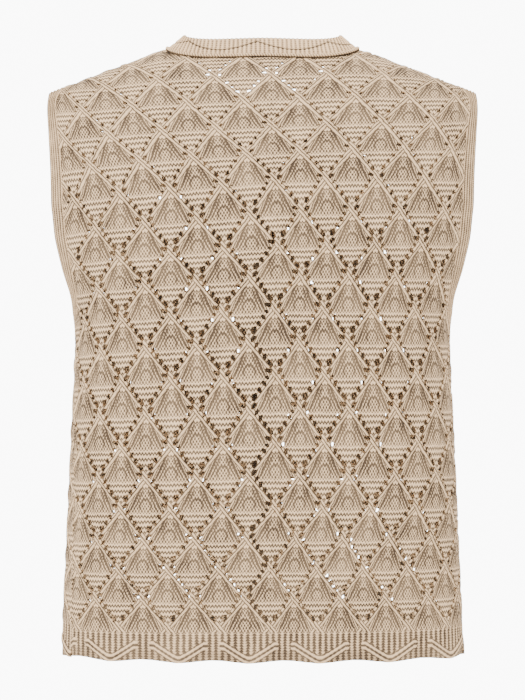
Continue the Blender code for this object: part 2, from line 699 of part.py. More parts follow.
def main():
    for obj in list(bpy.data.objects):
        bpy.data.objects.remove(obj)
    garment = bpy.data.collections.new("sleeveless_cardigan")
    patterns = bpy.data.collections.new("patterns")
    for collection in (garment, patterns):
        bpy.context.scene.collection.children.link(collection)
    lace = {name: material(name + "_lace", LACE_COLOUR, 0.9) for name in ("back", "left", "right")}
    gaps = lace_panel("back", BACK, BACK_LACE, back_outline(), garment, patterns, lace["back"])
    for side, name in ((-1, "left"), (1, "right")):
        outline = front_outline(side)
        gaps += lace_panel("front_" + name, FRONT, FRONT_LACE, outline, garment, patterns, lace[name])
        armband("armband_" + name, side, garment, material(f"armband_{name}_rib", RIB_COLOUR, 0.9))
    print("gaps cut through:", gaps)
    neckband(garment, material("neckband_rib", RIB_COLOUR, 0.9))
    under = [(across, 0.0) for across in (-BAND_HALF, *BAND_LINES, UNDER_BAND_EDGE)]
    raised = BAND_WALL + SEAM_GAP
    over = [(across, raised) for across in (-BAND_HALF, *BAND_LINES, UNDER_BAND_EDGE + BAND_STEP)]
    over.append((BAND_HALF, SEAM_GAP))
    button_band("button_band_left", under, garment, material("under_band_rib", RIB_COLOUR, 0.9))
    button_band("button_band_right", over, garment, material("over_band_rib", RIB_COLOUR, 0.9))
    heights = np.linspace(FRONT_NECK_UP - TOP_BUTTON_DROP, HEM + LAST_BUTTON_RISE, BUTTON_COUNT)
    for number, height in enumerate(heights, 1):
        finish = material(f"button_{number}_finish", BUTTON_COLOUR, 0.4)
        button(f"button_{number}", height, garment, finish)


main()
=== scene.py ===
"""Looks of a sleeveless cardigan knitted in diamond leaf lace.

Every piece is knitted cloth that is laid out flat first, in cloth coordinates: across is the
distance from the centre line along the cloth, and up is its height. The form then carries the
flat points onto the worn garment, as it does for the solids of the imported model.
"""

import math

import bmesh
import bpy
import numpy as np
from bpy.props import FloatProperty, FloatVectorProperty, PointerProperty
from mathutils import Matrix, Vector


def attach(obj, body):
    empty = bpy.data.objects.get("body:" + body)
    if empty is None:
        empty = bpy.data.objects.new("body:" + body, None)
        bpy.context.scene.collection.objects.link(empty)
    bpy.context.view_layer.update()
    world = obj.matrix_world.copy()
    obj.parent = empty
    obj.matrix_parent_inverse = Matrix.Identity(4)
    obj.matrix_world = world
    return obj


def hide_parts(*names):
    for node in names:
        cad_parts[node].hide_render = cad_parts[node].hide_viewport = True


bl_info = {
    "name": "Lace Cardigan",
    "version": (1, 0, 0),
    "blender": (4, 5, 0),
    "location": "View3D > Sidebar > Cardigan",
    "description": "Knitted pieces, buttons and stage of a sleeveless lace cardigan",
    "category": "Object",
}

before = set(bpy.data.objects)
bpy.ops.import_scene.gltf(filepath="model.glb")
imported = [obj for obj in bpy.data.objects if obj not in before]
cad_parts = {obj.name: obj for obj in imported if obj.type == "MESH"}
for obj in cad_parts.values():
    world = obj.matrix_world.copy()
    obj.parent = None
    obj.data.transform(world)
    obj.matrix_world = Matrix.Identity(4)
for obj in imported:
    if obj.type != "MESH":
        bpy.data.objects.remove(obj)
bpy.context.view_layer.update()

# Cloth
WALL = 0.0018
BAND_WALL = 0.0026
SEAM_GAP = 0.0001

# Body of the garment, one row for each level, from the hem up to the shoulder blades.
SECTION_COLUMNS = (
    "height", "lace_row", "half_width", "back_depth", "front_depth", "seam_left", "seam_right",
)
SECTIONS = (
    (-0.5410, -0.60, 0.1782, 0.078, 0.084, 0.178, 0.202),
    (-0.5075, 0.00, 0.1768, 0.080, 0.086, 0.178, 0.202),
    (-0.4540, 1.00, 0.1742, 0.083, 0.090, 0.179, 0.203),
    (-0.3995, 2.00, 0.1718, 0.086, 0.094, 0.181, 0.204),
    (-0.3435, 3.00, 0.1692, 0.090, 0.098, 0.187, 0.207),
    (-0.2846, 4.00, 0.1664, 0.094, 0.102, 0.202, 0.212),
    (-0.2500, 4.59, 0.1657, 0.098, 0.103, 0.222, 0.222),
    (-0.2267, 5.00, 0.1694, 0.100, 0.102, 0.226, 0.226),
    (-0.1975, 5.50, 0.1815, 0.102, 0.100, 0.236, 0.236),
    (-0.1700, 6.00, 0.1908, 0.103, 0.097, 0.244, 0.244),
    (-0.1416, 6.50, 0.1950, 0.103, 0.094, 0.250, 0.250),
)
SECTION_POWER = 2.5  # 2 is an ellipse, more is squarer
HEM = SECTIONS[0][0]
ROLL_HEIGHT = SECTIONS[-1][0]  # above this the cloth leans in towards the shoulder seams
ROLL_POWER = 1.6

# Shoulders and neck
NECK_HALF_WIDTH = 0.085
NECK_BACK_DEPTH = 0.033
NECK_RISE = 0.0045
NECK_POWER = 3.0
NECK_POINTS = 11
SHOULDER_SLOPE = math.tan(math.radians(20.6))
SHOULDER_ROUNDING = 0.006
SHOULDER_POINTS = 8
FRONT_NECK_UP = -0.048  # foot of the front neck seam, in flat cloth
FRONT_NECK_POWER = 2.3
FRONT_NECK_POINTS = 16

# Armholes seen from the side, from the shoulder tip down: height, and depth from the seams
ARMHOLE_COLUMNS = ("height", "depth")
ARMHOLE = (
    (-0.0410, 0.0),
    (-0.0520, 0.0105),
    (-0.0700, 0.0210),
    (-0.0850, 0.0285),
    (-0.1000, 0.0350),
    (-0.1200, 0.0415),
    (-0.1416, 0.0450),
    (-0.1560, 0.0450),
    (-0.1700, 0.0436),
    (-0.1840, 0.0413),
    (-0.1975, 0.0375),
    (-0.2100, 0.0330),
    (-0.2200, 0.0275),
    (-0.2280, 0.0210),
    (-0.2340, 0.0120),
    (-0.2365, 0.0),
)
SHOULDER_TIP = 0.1912
SIDE_POINTS = 15
ARMHOLE_POINTS = 30
ARMBAND_WIDTH = 0.018
NECKBAND_WIDTH = 0.022
NECK_MIDDLE = (0.0, 0.0, 0.020)
NECKBAND_STAND = (0.50, 0.36)  # how steeply it stands at the shoulders, and more behind
STAND_REACH = 0.05  # this far in front of the shoulder seams it lies flat

# Front bands and buttons
BAND_HALF = 0.013
UNDER_BAND_EDGE = 0.008
BAND_STEP = 0.001
BUTTON_COUNT = 5
TOP_BUTTON_DROP = 0.014
LAST_BUTTON_RISE = 0.030

# Lace: leaf-filled diamonds between crossing diagonals
LACE_COLUMNS = (
    "lace_row", "shift", "left_pitch", "right_pitch", "sink", "left_tilt", "right_tilt",
)
BACK_LACE = (
    (0.0, 0.0070, 0.0446, 0.0405, 0.0030, 0.0005, 0.0000),
    (1.0, 0.0073, 0.0448, 0.0405, 0.0043, 0.0008, 0.0000),
    (2.0, 0.0110, 0.0453, 0.0419, 0.0052, 0.0010, 0.0000),
    (3.0, 0.0112, 0.0452, 0.0427, 0.0046, 0.0016, 0.0000),
    (4.0, 0.0112, 0.0450, 0.0425, 0.0046, 0.0022, 0.0000),
    (5.0, 0.0108, 0.0450, 0.0420, 0.0056, 0.0027, 0.0000),
    (6.0, 0.0138, 0.0464, 0.0422, 0.0080, 0.0030, -0.0012),
    (7.0, 0.0107, 0.0450, 0.0444, 0.0092, 0.0036, -0.0012),
    (8.0, 0.0080, 0.0480, 0.0484, 0.0150, 0.0020, -0.0030),
    (9.0, 0.0080, 0.0500, 0.0500, 0.0150, 0.0020, -0.0030),
)
FRONT_LACE = (
    (0.0, -0.0130, 0.0486, 0.0461, 0.0, 0.0, 0.0),
    (9.0, -0.0130, 0.0486, 0.0461, 0.0, 0.0, 0.0),
)
ROW_ON_SHOULDER = 0.057

# One repeat of the lace is this many cells of the mesh wide and high
CELLS_ACROSS = 28
CELLS_UP = 36
COLUMNS_EACH_SIDE = 7  # repeats of the mesh to each side of the middle, before it is trimmed
# The yarn-over gaps of one diamond: how far right of and below its top crossing, width,
# height, and how far the top is to the right of the middle, all in cells
GAPS = (
    (-11.6, 16.7, 2.8, 3.8, 0.8),
    (-10.1, 20.1, 1.8, 3.4, 0.8),
    (-8.2, 23.4, 2.4, 4.0, 0.4),
    (-5.7, 26.8, 2.4, 3.8, 0.0),
    (-2.9, 30.5, 3.2, 4.6, -0.5),
    (10.3, 16.2, 3.8, 2.8, -0.8),
    (9.5, 19.7, 2.0, 2.6, -0.5),
    (7.8, 22.9, 2.6, 3.4, -0.4),
    (5.5, 26.4, 2.4, 3.8, -0.2),
    (2.8, 30.0, 3.2, 4.6, 0.5),
)
GAP_MARGIN = 0.005  # no gap is opened nearer to an edge than this
FRONT_EASE = 0.64  # the fronts are knitted closer, and their gaps have this share of the size
SHOULDER_EASE = 0.34  # gaps lose this share of their size between the two eased rows
EASED_ROWS = (6.4, 8.6)
GAP_WINDOW = 5  # a gap reaches no further than this many cells from its middle
GAP_ROUNDING = (0.80, 1.25)  # how far the stitches round a gap are drawn to its outline
FIRST_ROW = -0.62
SPARE_ROWS = 0.55  # the lace sinks this much below its even spacing at the shoulders
WANDER = 0.028  # how far stitches stray, in columns and rows
COURSE_PITCH = 0.0022

# Hem: the lower points of the ribbed edge, with a travelling double cord that joins them
SCALLOP_PITCH = 0.0615
SCALLOP_SHIFT = -0.0115
SCALLOP_DEPTH = 0.0013
SCALLOP_RISE = 0.4
SCALLOP_POINTS = 6

NECK_SMOOTHING = 6  # times that the directions of the neckband are averaged

# Samples along and across the bands and the seam cord
NECKBAND_ROWS = 1201
NECKBAND_COLUMNS = 19
ARMBAND_ROWS = 100
ARMBAND_COLUMNS = 31
BUTTON_BAND_ROWS = 101
BUTTON_BAND_COLUMNS = 41
ROPE_ROWS = 641
ROPE_COLUMNS = 11

# Buttons: their outline from the middle of the back round to the middle of the face, in radius
# and height, and their four holes with thread
BUTTON_PROFILE = (
    (0.0, 0.0),
    (0.0072, 0.0),
    (0.0081, 0.0003),
    (0.0085, 0.0010),
    (0.0085, 0.0022),
    (0.0082, 0.0029),
    (0.0076, 0.0032),
    (0.0069, 0.0031),
    (0.0063, 0.0026),
    (0.0055, 0.0023),
    (0.0, 0.0022),
)
BUTTON_STEPS = 48
HOLE_SPREAD = 0.0021
HOLE_RADIUS = 0.0008
HOLE_SEGMENTS = 12
DRILL_LENGTH = 0.02
THREAD_RADIUS = 0.00045
THREAD_SEGMENTS = 8
THREAD_STEPS = 10
THREAD_SEAT = 0.0018
THREAD_FLATNESS = 0.7

# Stage
FLOOR_SEGMENTS = 96
FLOOR_COLOUR = (0.9, 0.9, 0.9, 1.0)
BACKDROP_STRENGTH = 10.0
FLOOR_RADIUS = 1.7
FLOOR_LEVEL = -0.85
KEY_SIZE = 1.2
KEY_PLACE = (-0.9, -1.9, 1.2)
CAMERA_PLACE = (0.0, -2.4, -0.269)
CAMERA_LENS = 137.14
SENSOR_HEIGHT = 36.0

# Sampling of the form, and the search for flat points on it
STEP = 0.002
ACROSS_REACH = 0.300
UP_REACH = 0.080
ARC_SAMPLES = 241
NEWTON_ROUNDS = 30
NEWTON_NUDGE = 0.001
NEWTON_REACH = 0.010
SHOULDER_GUESS = 0.03
TINY = 1e-12
WELD = 1e-6
CHUNK = 4000  # points whose distance to an outline is worked out at once
SIDES = {"left": -1, "right": 1}


def column(table, names, name):
    """One named column of a table."""
    return np.array([row[names.index(name)] for row in table])


def smooth(xs, ys, x):
    """A smooth curve through the points (xs, ys), straight beyond both ends."""
    x = np.asarray(x, dtype=float)
    slopes = np.gradient(ys, xs)
    i = np.clip(np.searchsorted(xs, x) - 1, 0, len(xs) - 2)
    width = xs[i + 1] - xs[i]
    t = np.clip((x - xs[i]) / width, 0.0, 1.0)
    inside = (
        (2 * t**3 - 3 * t**2 + 1) * ys[i]
        + (t**3 - 2 * t**2 + t) * width * slopes[i]
        + (3 * t**2 - 2 * t**3) * ys[i + 1]
        + (t**3 - t**2) * width * slopes[i + 1]
    )
    below = np.minimum(x - xs[0], 0.0) * slopes[0]
    above = np.maximum(x - xs[-1], 0.0) * slopes[-1]
    return inside + below + above


def travelled(line):
    """Distance along a line of points at each of its points."""
    return np.concatenate([[0.0], np.cumsum(np.linalg.norm(np.diff(line, axis=0), axis=1))])


def along_line(values, length, spots):
    """Rows of values, known at these lengths of a line, read smoothly at other spots on it."""
    return np.stack([smooth(length, value, spots) for value in values.T], 1)


def unit(vectors):
    """The vectors at length 1."""
    return vectors / np.linalg.norm(vectors, axis=-1, keepdims=True)


def section_value(name, height):
    heights = column(SECTIONS, SECTION_COLUMNS, "height")
    return smooth(heights, column(SECTIONS, SECTION_COLUMNS, name), height)


def shoulder_height(x):
    """Height of the shoulder seam at a distance x from the middle."""
    run = (np.abs(x) - NECK_HALF_WIDTH) / SHOULDER_ROUNDING
    crown = NECK_RISE * np.exp(-2 * (x / NECK_HALF_WIDTH) ** 2)
    return crown - SHOULDER_SLOPE * SHOULDER_ROUNDING * np.logaddexp(0.0, run)


def section_outline(height):
    """Half of a level section, from centre back round the side to centre front."""
    turn = np.linspace(0.0, math.pi, ARC_SAMPLES)
    power = 2.0 / SECTION_POWER
    back, front = section_value("back_depth", height), section_value("front_depth", height)
    depth = np.where(turn < math.pi / 2, back, front)
    x = section_value("half_width", height) * np.sin(turn) ** power
    y = -depth * np.sign(np.cos(turn)) * np.abs(np.cos(turn)) ** power
    return x, y, travelled(np.stack([x, y], 1))


def rolled(depth, rise, cloth):
    """Depth and rise of the points at these lengths of cloth up the shoulder's profile."""
    turn = np.linspace(0.0, math.pi / 2, ARC_SAMPLES)
    power = 2.0 / ROLL_POWER
    out = depth * np.cos(turn) ** power
    up = rise * np.sin(turn) ** power
    length = travelled(np.stack([out, up], 1))
    beyond = np.maximum(cloth - length[-1], 0.0)
    return np.interp(cloth, length, out) - np.sign(depth) * beyond, np.interp(cloth, length, up)


class Form:
    """Carries flat cloth onto the worn garment, on the back or on the front."""

    def __init__(self, front):
        self.front = front
        self.across = np.arange(0.0, ACROSS_REACH, STEP)
        self.up = np.arange(HEM - 0.02, UP_REACH, STEP)
        level = [self.level_points(height) for height in self.up[self.up <= ROLL_HEIGHT]]
        base = self.level_points(ROLL_HEIGHT)
        rise = shoulder_height(base[:, 0]) - ROLL_HEIGHT
        cloth = self.up[self.up > ROLL_HEIGHT] - ROLL_HEIGHT
        columns = []
        for (x, y, _), top in zip(base, rise):
            depth, height = rolled(y, top, cloth)
            columns.append(np.stack([np.full_like(cloth, x), depth, ROLL_HEIGHT + height], -1))
        shoulders = np.transpose(np.array(columns), (1, 0, 2))
        self.points = np.concatenate([np.array(level), shoulders])
        along = np.gradient(self.points, axis=1)
        upward = np.gradient(self.points, axis=0)
        normals = np.cross(upward, along) if front else np.cross(along, upward)
        self.normals = unit(normals)

    def level_points(self, height):
        x, y, length = section_outline(height)
        distance = length[-1] - self.across if self.front else self.across
        place = [np.interp(distance, length, x), np.interp(distance, length, y)]
        return np.stack([*place, np.full_like(self.across, height)], -1)

    def look_up(self, table, across, up):
        """Reads a table of the form between its samples, mirrored for the left half."""
        i = np.clip(np.abs(across) / STEP, 0, len(self.across) - 1.001)
        j = np.clip((up - self.up[0]) / STEP, 0, len(self.up) - 1.001)
        i0, j0 = i.astype(int), j.astype(int)
        u, v = (i - i0)[..., None], (j - j0)[..., None]
        low = table[j0, i0] * (1 - u) + table[j0, i0 + 1] * u
        high = table[j0 + 1, i0] * (1 - u) + table[j0 + 1, i0 + 1] * u
        value = low * (1 - v) + high * v
        value[..., 0] *= np.where(across < 0, -1.0, 1.0)
        return value

    def place(self, across, up, lift=0.0):
        across, up = np.asarray(across, dtype=float), np.asarray(up, dtype=float)
        lifted = self.normal(across, up) * np.asarray(lift)[..., None]
        return self.look_up(self.points, across, up) + lifted

    def normal(self, across, up):
        return unit(self.look_up(self.normals, np.asarray(across), np.asarray(up)))

    def cloth_at(self, axes, targets, start):
        """Flat points whose places have the target coordinates along the two axes."""
        found = []
        guess = np.array(start, dtype=float)
        for target in targets:
            for _ in range(NEWTON_ROUNDS):
                here = self.place(*guess)[list(axes)]
                across = self.place(guess[0] + NEWTON_NUDGE, guess[1])[list(axes)] - here
                upward = self.place(guess[0], guess[1] + NEWTON_NUDGE)[list(axes)] - here
                slopes = np.stack([across, upward], 1) / NEWTON_NUDGE
                move = np.linalg.lstsq(slopes, target - here, rcond=None)[0]
                guess = guess + np.clip(move, -NEWTON_REACH, NEWTON_REACH)
            found.append(guess.copy())
        return np.array(found)


BACK = Form(front=False)
FRONT = Form(front=True)
X_AND_Y, Y_AND_Z = (0, 1), (1, 2)


def row_up(lace_row):
    """Height in flat cloth of a row of the lace."""
    rows, heights = (column(SECTIONS, SECTION_COLUMNS, name) for name in ("lace_row", "height"))
    below = smooth(rows, heights, np.minimum(lace_row, rows[-1]))
    return below + np.maximum(lace_row - rows[-1], 0.0) * ROW_ON_SHOULDER


def lace_value(lace, name, lace_row):
    """A measure of the lace at a row, from its table."""
    rows = column(lace, LACE_COLUMNS, "lace_row")
    return smooth(rows, column(lace, LACE_COLUMNS, name), np.clip(lace_row, rows[0], rows[-1]))


def lace_flat(lace, lace_column, lace_row):
    """Flat points, across and up, of places in the lace."""
    pitch, tilt = (
        np.where(
            lace_column < 0,
            lace_value(lace, "left_" + name, lace_row),
            lace_value(lace, "right_" + name, lace_row),
        )
        for name in ("pitch", "tilt")
    )
    across = lace_value(lace, "shift", lace_row) + pitch * lace_column
    drop = lace_value(lace, "sink", lace_row) + tilt * np.abs(lace_column)
    return np.stack([across, row_up(lace_row) - drop], -1)


def resampled(line, count):
    """A smooth curve through the line's points, with count points evenly along it."""
    length = travelled(line)
    return along_line(line, length, np.linspace(0.0, length[-1], count))


def offset(line, distance):
    """The line moved sideways by a distance, to its left when seen from above."""
    along = unit(np.gradient(line, axis=0))
    return line + distance * np.stack([-along[:, 1], along[:, 0]], 1)


def shoulder_line(form, inner, outer, count, gap):
    """Flat points of the shoulder seam between two distances from the middle."""
    y = gap if form.front else -gap
    spots = [np.array([x, y]) for x in np.linspace(inner, outer, count)]
    return form.cloth_at(X_AND_Y, spots, (inner, SHOULDER_GUESS))


def shoulder_point(form, x):
    return shoulder_line(form, x, x, 1, 0.0)[0]


def armhole_edge(form):
    """Flat points of the free edge of the armband, from the shoulder tip to the underarm."""
    heights = column(ARMHOLE, ARMHOLE_COLUMNS, "height")
    depths = column(ARMHOLE, ARMHOLE_COLUMNS, "depth") * (1 if form.front else -1)
    tip = shoulder_point(form, SHOULDER_TIP)
    spots = [np.array(spot) for spot in zip(depths[1:], heights[1:])]
    return resampled(np.concatenate([[tip], form.cloth_at(Y_AND_Z, spots, tip)]), ARMHOLE_POINTS)


def armhole_seam(form, gap):
    """Flat points of the seam between armband and panel; gap moves it into the panel."""
    edge = armhole_edge(form)
    seam = offset(edge, -(ARMBAND_WIDTH + gap))
    inner_tip = SHOULDER_TIP - (ARMBAND_WIDTH + gap) * math.cos(math.atan(SHOULDER_SLOPE))
    seam[0] = shoulder_point(form, inner_tip)
    underarm = edge[-1][1] - (ARMBAND_WIDTH + gap)
    seam[-1] = (side_line(form, underarm), underarm)
    return resampled(seam, ARMHOLE_POINTS)


def side_seam(form, side, top):
    """Flat points up a side seam; side is -1 on the left and 1 on the right."""
    levels = np.linspace(HEM, top, SIDE_POINTS)
    name = "seam_left" if side < 0 else "seam_right"
    middle = np.array([side_line(BACK, level) for level in levels])
    across = np.minimum(section_value(name, levels), middle)
    if form.front:
        across = np.array([section_outline(level)[2][-1] for level in levels]) - across
    return np.stack([across - SEAM_GAP / 2, levels], 1)


def side_line(form, height):
    """Distance along the cloth from the form's centre line to the middle of the side."""
    _, y, length = section_outline(height)
    middle = float(np.interp(0.0, y, length))
    return length[-1] - middle if form.front else middle


def back_neck():
    """Flat points of the back neck seam, from the middle to the right shoulder."""
    turn = np.linspace(math.pi / 2, 0.0, NECK_POINTS)
    power = 2.0 / NECK_POWER
    x = NECK_HALF_WIDTH * np.abs(np.cos(turn)) ** power
    y = -NECK_BACK_DEPTH * np.sin(turn) ** power
    return BACK.cloth_at(X_AND_Y, list(np.stack([x, y], 1)), (0.001, 0.0))


def front_neck(inner):
    """Flat points of the front neck seam, from the right shoulder to near the centre front."""
    start = shoulder_point(FRONT, NECK_HALF_WIDTH)
    power = 2.0 / FRONT_NECK_POWER
    turn = np.linspace(0.0, math.acos((inner / start[0]) ** (1 / power)), FRONT_NECK_POINTS)
    across = start[0] * np.abs(np.cos(turn)) ** power
    up = start[1] - (start[1] - FRONT_NECK_UP) * np.sin(turn) ** power
    return np.stack([across, up], 1)


def scallops(across):
    """Height of the hem's edge."""
    wave = 2 * math.pi * (across - SCALLOP_SHIFT) / SCALLOP_PITCH
    return HEM + SCALLOP_DEPTH * (SCALLOP_RISE - np.cos(wave))


def hem_line(start, end):
    """Flat points along the hem, with its scallops."""
    count = max(2, round(abs(end - start) / (SCALLOP_PITCH / SCALLOP_POINTS)))
    across = np.linspace(start, end, count + 1)
    return np.stack([across, scallops(across)], 1)


def panel_side(form, side):
    """Flat points from the hem up the side, round the armhole and along the shoulder."""
    armhole = armhole_seam(form, SEAM_GAP)[::-1]
    seam = side_seam(form, side, armhole[0][1])
    inner = NECK_HALF_WIDTH + SEAM_GAP / 2
    outer = form.place(*armhole[-1])[0]
    shoulder = shoulder_line(form, inner, outer, SHOULDER_POINTS, SEAM_GAP / 2)[::-1]
    return np.concatenate([seam, armhole[1:-1], shoulder])


def back_outline():
    right = panel_side(BACK, 1)
    left = panel_side(BACK, -1) * (-1, 1)
    neck = offset(back_neck(), -SEAM_GAP / 2)[1:-1]
    neck_across = np.concatenate([neck[::-1], [[0.0, neck[0][1]]], neck * (-1, 1)])
    hem = hem_line(left[0][0], right[0][0])
    return np.concatenate([hem[:-1], right, neck_across, left[::-1][:-1]])


def front_outline(side):
    outer = panel_side(FRONT, side)
    neck = offset(front_neck(BAND_HALF), SEAM_GAP / 2)
    inner = BAND_HALF + SEAM_GAP
    neck[-1][0] = inner
    hem = hem_line(inner, outer[0][0])
    return np.concatenate([hem[:-1], outer, neck[1:]]) * (side, 1)


def to_outline(outline, spots):
    """Signed distance of each flat point inside the outline, and the nearest point on it."""
    ends = np.roll(outline, -1, axis=0)
    run = ends - outline
    away = spots[:, None] - outline
    share = np.clip((away * run).sum(-1) / (run * run).sum(-1), 0, 1)
    feet = outline + share[..., None] * run
    distance = np.linalg.norm(spots[:, None] - feet, axis=-1)
    nearest = distance.argmin(1)
    crosses = (outline[:, 1] > spots[:, None, 1]) != (ends[:, 1] > spots[:, None, 1])
    rise = np.where(run[:, 1] == 0, TINY, run[:, 1])
    at = outline[:, 0] + (spots[:, None, 1] - outline[:, 1]) / rise * run[:, 0]
    inside = (crosses & (spots[:, None, 0] < at)).sum(1) % 2 == 1
    everyone = np.arange(len(spots))
    signed = np.where(inside, distance[everyone, nearest], -distance[everyone, nearest])
    return signed, feet[everyone, nearest]


def depth_in_outline(outline, spots):
    """Only the distances, for many points."""
    parts = np.array_split(spots, len(spots) // CHUNK + 1)
    return np.concatenate([to_outline(outline, part)[0] for part in parts])


# ---- Relief of the cloth ----

LATTICE_HEIGHT = 0.0014
LATTICE_HALF = 0.060  # in columns
STRAND = 0.080  # width of one of the two strands of a diagonal, in columns
LEAF_HEIGHT = 0.0006
LEAF_EDGE = (0.06, 0.16)  # from the diagonals
EYE_DOWN = 0.47  # rows below the top crossing
EYE_RADIUS = 0.115
EYE_HEIGHT = 0.0010
RIDGE_PITCH = 0.090
VEE_SLOPE = 0.57  # the grooves of a leaf run this many columns sideways for each row down
VEE_DEPTH = 0.0007
VEE_HALF = 0.03
VEE_TOP = (0.10, 0.18)
VEE_FOOT = (0.46, 0.54)
RIBS_IN_REPEAT = 8
RIB_HEIGHT = 0.0007
CORD_HEIGHT = 0.0016
CORD_HALF = 0.0038
CORD_REACH = 0.0220  # how far each cord travels sideways
CORD_RISE = 0.0145  # and upwards
CORD_FOOT = 0.0020
CORD_BEND = 0.0032  # how far from its lowest point the cord is still curved
HEM_RECESS = 0.0009
RIB_START = -0.02  # lace row below which the cloth is ribbed
RIB_FADE = 0.10

BAND_RIB_PITCH = 0.0040
EDGE_RIB_PITCH = 0.0036
BAND_RIB_HEIGHT = 0.00045
BAND_EDGE = 0.0014  # the free edges are rounded over this width
ZIGZAG_PITCH = 0.067
ZIGZAG_SHIFT = -0.005
ZIGZAG_PEAK = 0.0175
ZIGZAG_VALLEY = 0.0095
ZIGZAG_REACH = 0.112  # it ends this far from the middle, near the shoulders
ZIGZAG_HALF = 0.0008
ZIGZAG_DEPTH = 0.0006
ROPE_RADIUS = 0.0019
ROPE_PITCH = 0.0025
ROPE_PLY = 0.22
ROPE_TAPER = 0.014  # length over which the cord thins out at its ends
ROPE_END = 0.004  # the cord ends this far in front of the shoulder seams


def ramp(value, low, high):
    """0 up to low, 1 from high on, and smooth between."""
    t = np.clip((value - low) / (high - low), 0.0, 1.0)
    return t * t * (3 - 2 * t)


def in_diamond(lace_column, lace_row):
    """Place in a diamond, in columns right of and rows below its top crossing."""
    rising, falling = (lace_row + lace_column) % 1.0, (lace_row - lace_column) % 1.0
    return (rising - falling) / 2, 1 - (rising + falling) / 2


def from_line(value):
    """Distance to the nearest whole number."""
    return np.abs((value + 0.5) % 1.0 - 0.5)


def hem_cord(across, up):
    """Distance from the travelling cord at the hem, and how far below it the cloth is."""
    side = from_line((across - SCALLOP_SHIFT) / SCALLOP_PITCH) * SCALLOP_PITCH
    slope = CORD_RISE / CORD_REACH
    bent = np.hypot(np.minimum(side, CORD_REACH), CORD_BEND) - CORD_BEND
    level = HEM + CORD_FOOT + slope * bent
    drop = (level - up) / math.hypot(1.0, slope)
    past = np.maximum(side - CORD_REACH, 0.0)
    return np.hypot(drop, past), drop


def lace_relief(lace_column, lace_row, across, up):
    """How far the cloth stands out, in metres."""
    lattice = np.minimum(from_line(lace_row + lace_column), from_line(lace_row - lace_column))
    right, down = in_diamond(lace_column, lace_row)
    height = LATTICE_HEIGHT * np.exp(-((lattice / LATTICE_HALF) ** 2))
    height += LEAF_HEIGHT * ramp(lattice, *LEAF_EDGE)
    eye = (right / EYE_RADIUS) ** 2 + ((down - EYE_DOWN) / EYE_RADIUS) ** 2
    height += EYE_HEIGHT * np.exp(-eye)
    vee = np.exp(-(((np.abs(right) - VEE_SLOPE * down) / VEE_HALF) ** 2))
    height -= VEE_DEPTH * vee * ramp(down, *VEE_TOP) * (1 - ramp(down, *VEE_FOOT))
    ribbed = ramp(-lace_row, -RIB_START, -RIB_START + RIB_FADE)
    ribs = RIB_HEIGHT * (0.5 + 0.5 * np.cos(2 * math.pi * RIBS_IN_REPEAT * lace_column))
    distance, drop = hem_cord(across, up)
    hem = ribs - HEM_RECESS * ramp(drop, 0.0, CORD_HALF)
    cord = CORD_HEIGHT * (1 - ramp(distance, CORD_HALF * 0.5, CORD_HALF * 1.3))
    hem = np.maximum(hem, cord)
    return height * (1 - ribbed) + hem * ribbed


def rib_relief(phase, from_edge):
    """Height of a ribbed band; from_edge is the distance from its free edge."""
    ribs = BAND_RIB_HEIGHT * np.cos(2 * math.pi * phase)
    return ribs - BAND_WALL * 0.3 * (1 - ramp(from_edge, 0.0, BAND_EDGE))


def zigzag(along):
    """Distance from the seam of the travelling stitch of the neckband, pointed at its peaks."""
    turn = from_line((along - ZIGZAG_SHIFT) / ZIGZAG_PITCH) * 2
    return ZIGZAG_PEAK - (ZIGZAG_PEAK - ZIGZAG_VALLEY) * np.sin(turn * math.pi / 2)


# ---- Meshes ----


def mesh_of(name, bm):
    """Turns a bmesh into a mesh and frees it."""
    mesh = bpy.data.meshes.new(name)
    bm.to_mesh(mesh)
    bm.free()
    return mesh


def linked(name, data):
    """An object of this data in the scene."""
    obj = bpy.data.objects.new(name, data)
    bpy.context.scene.collection.objects.link(obj)
    return obj


def finished(name, bm, slot, material, **maps):
    """Makes the bmesh an object that rides on the model, with its maps as UV layers."""
    mesh = mesh_of(name, bm)
    mesh.materials.append(material)
    mesh.shade_smooth()
    obj = linked(name, mesh)
    corners = np.empty(len(mesh.loops), dtype=np.int32)
    mesh.loops.foreach_get("vertex_index", corners)
    for map_name, values in maps.items():
        layer = mesh.uv_layers.new(name=map_name)
        layer.data.foreach_set("uv", values[corners].astype(np.float32).ravel())
    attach(obj, "root")
    return obj


def sheet_grid(rows, columns):
    """A bmesh grid of rows by columns of vertices, and each vertex's row and column."""
    bm = bmesh.new()
    bmesh.ops.create_grid(bm, x_segments=columns - 1, y_segments=rows - 1, size=0.5)
    places = np.array([vert.co[:2] for vert in bm.verts])
    spots = np.rint((places + 0.5) * (columns - 1, rows - 1)).astype(int)
    return bm, spots[:, 1], spots[:, 0]


def move_verts(bm, points):
    for vert, point in zip(bm.verts, points.tolist()):
        vert.co = point


def walled(obj, thickness):
    """Gives a sheet its thickness, towards the inside of the garment."""
    solid = obj.modifiers.new("wall", "SOLIDIFY")
    solid.thickness = thickness
    solid.offset = -1.0
    return obj


def face_out(bm, outward):
    """Turns a sheet's faces the way that the vectors at its vertices point."""
    bm.normal_update()
    agree = sum(face.normal.dot(Vector(outward[face.verts[0].index])) for face in bm.faces)
    if agree < 0:
        bmesh.ops.reverse_faces(bm, faces=bm.faces)


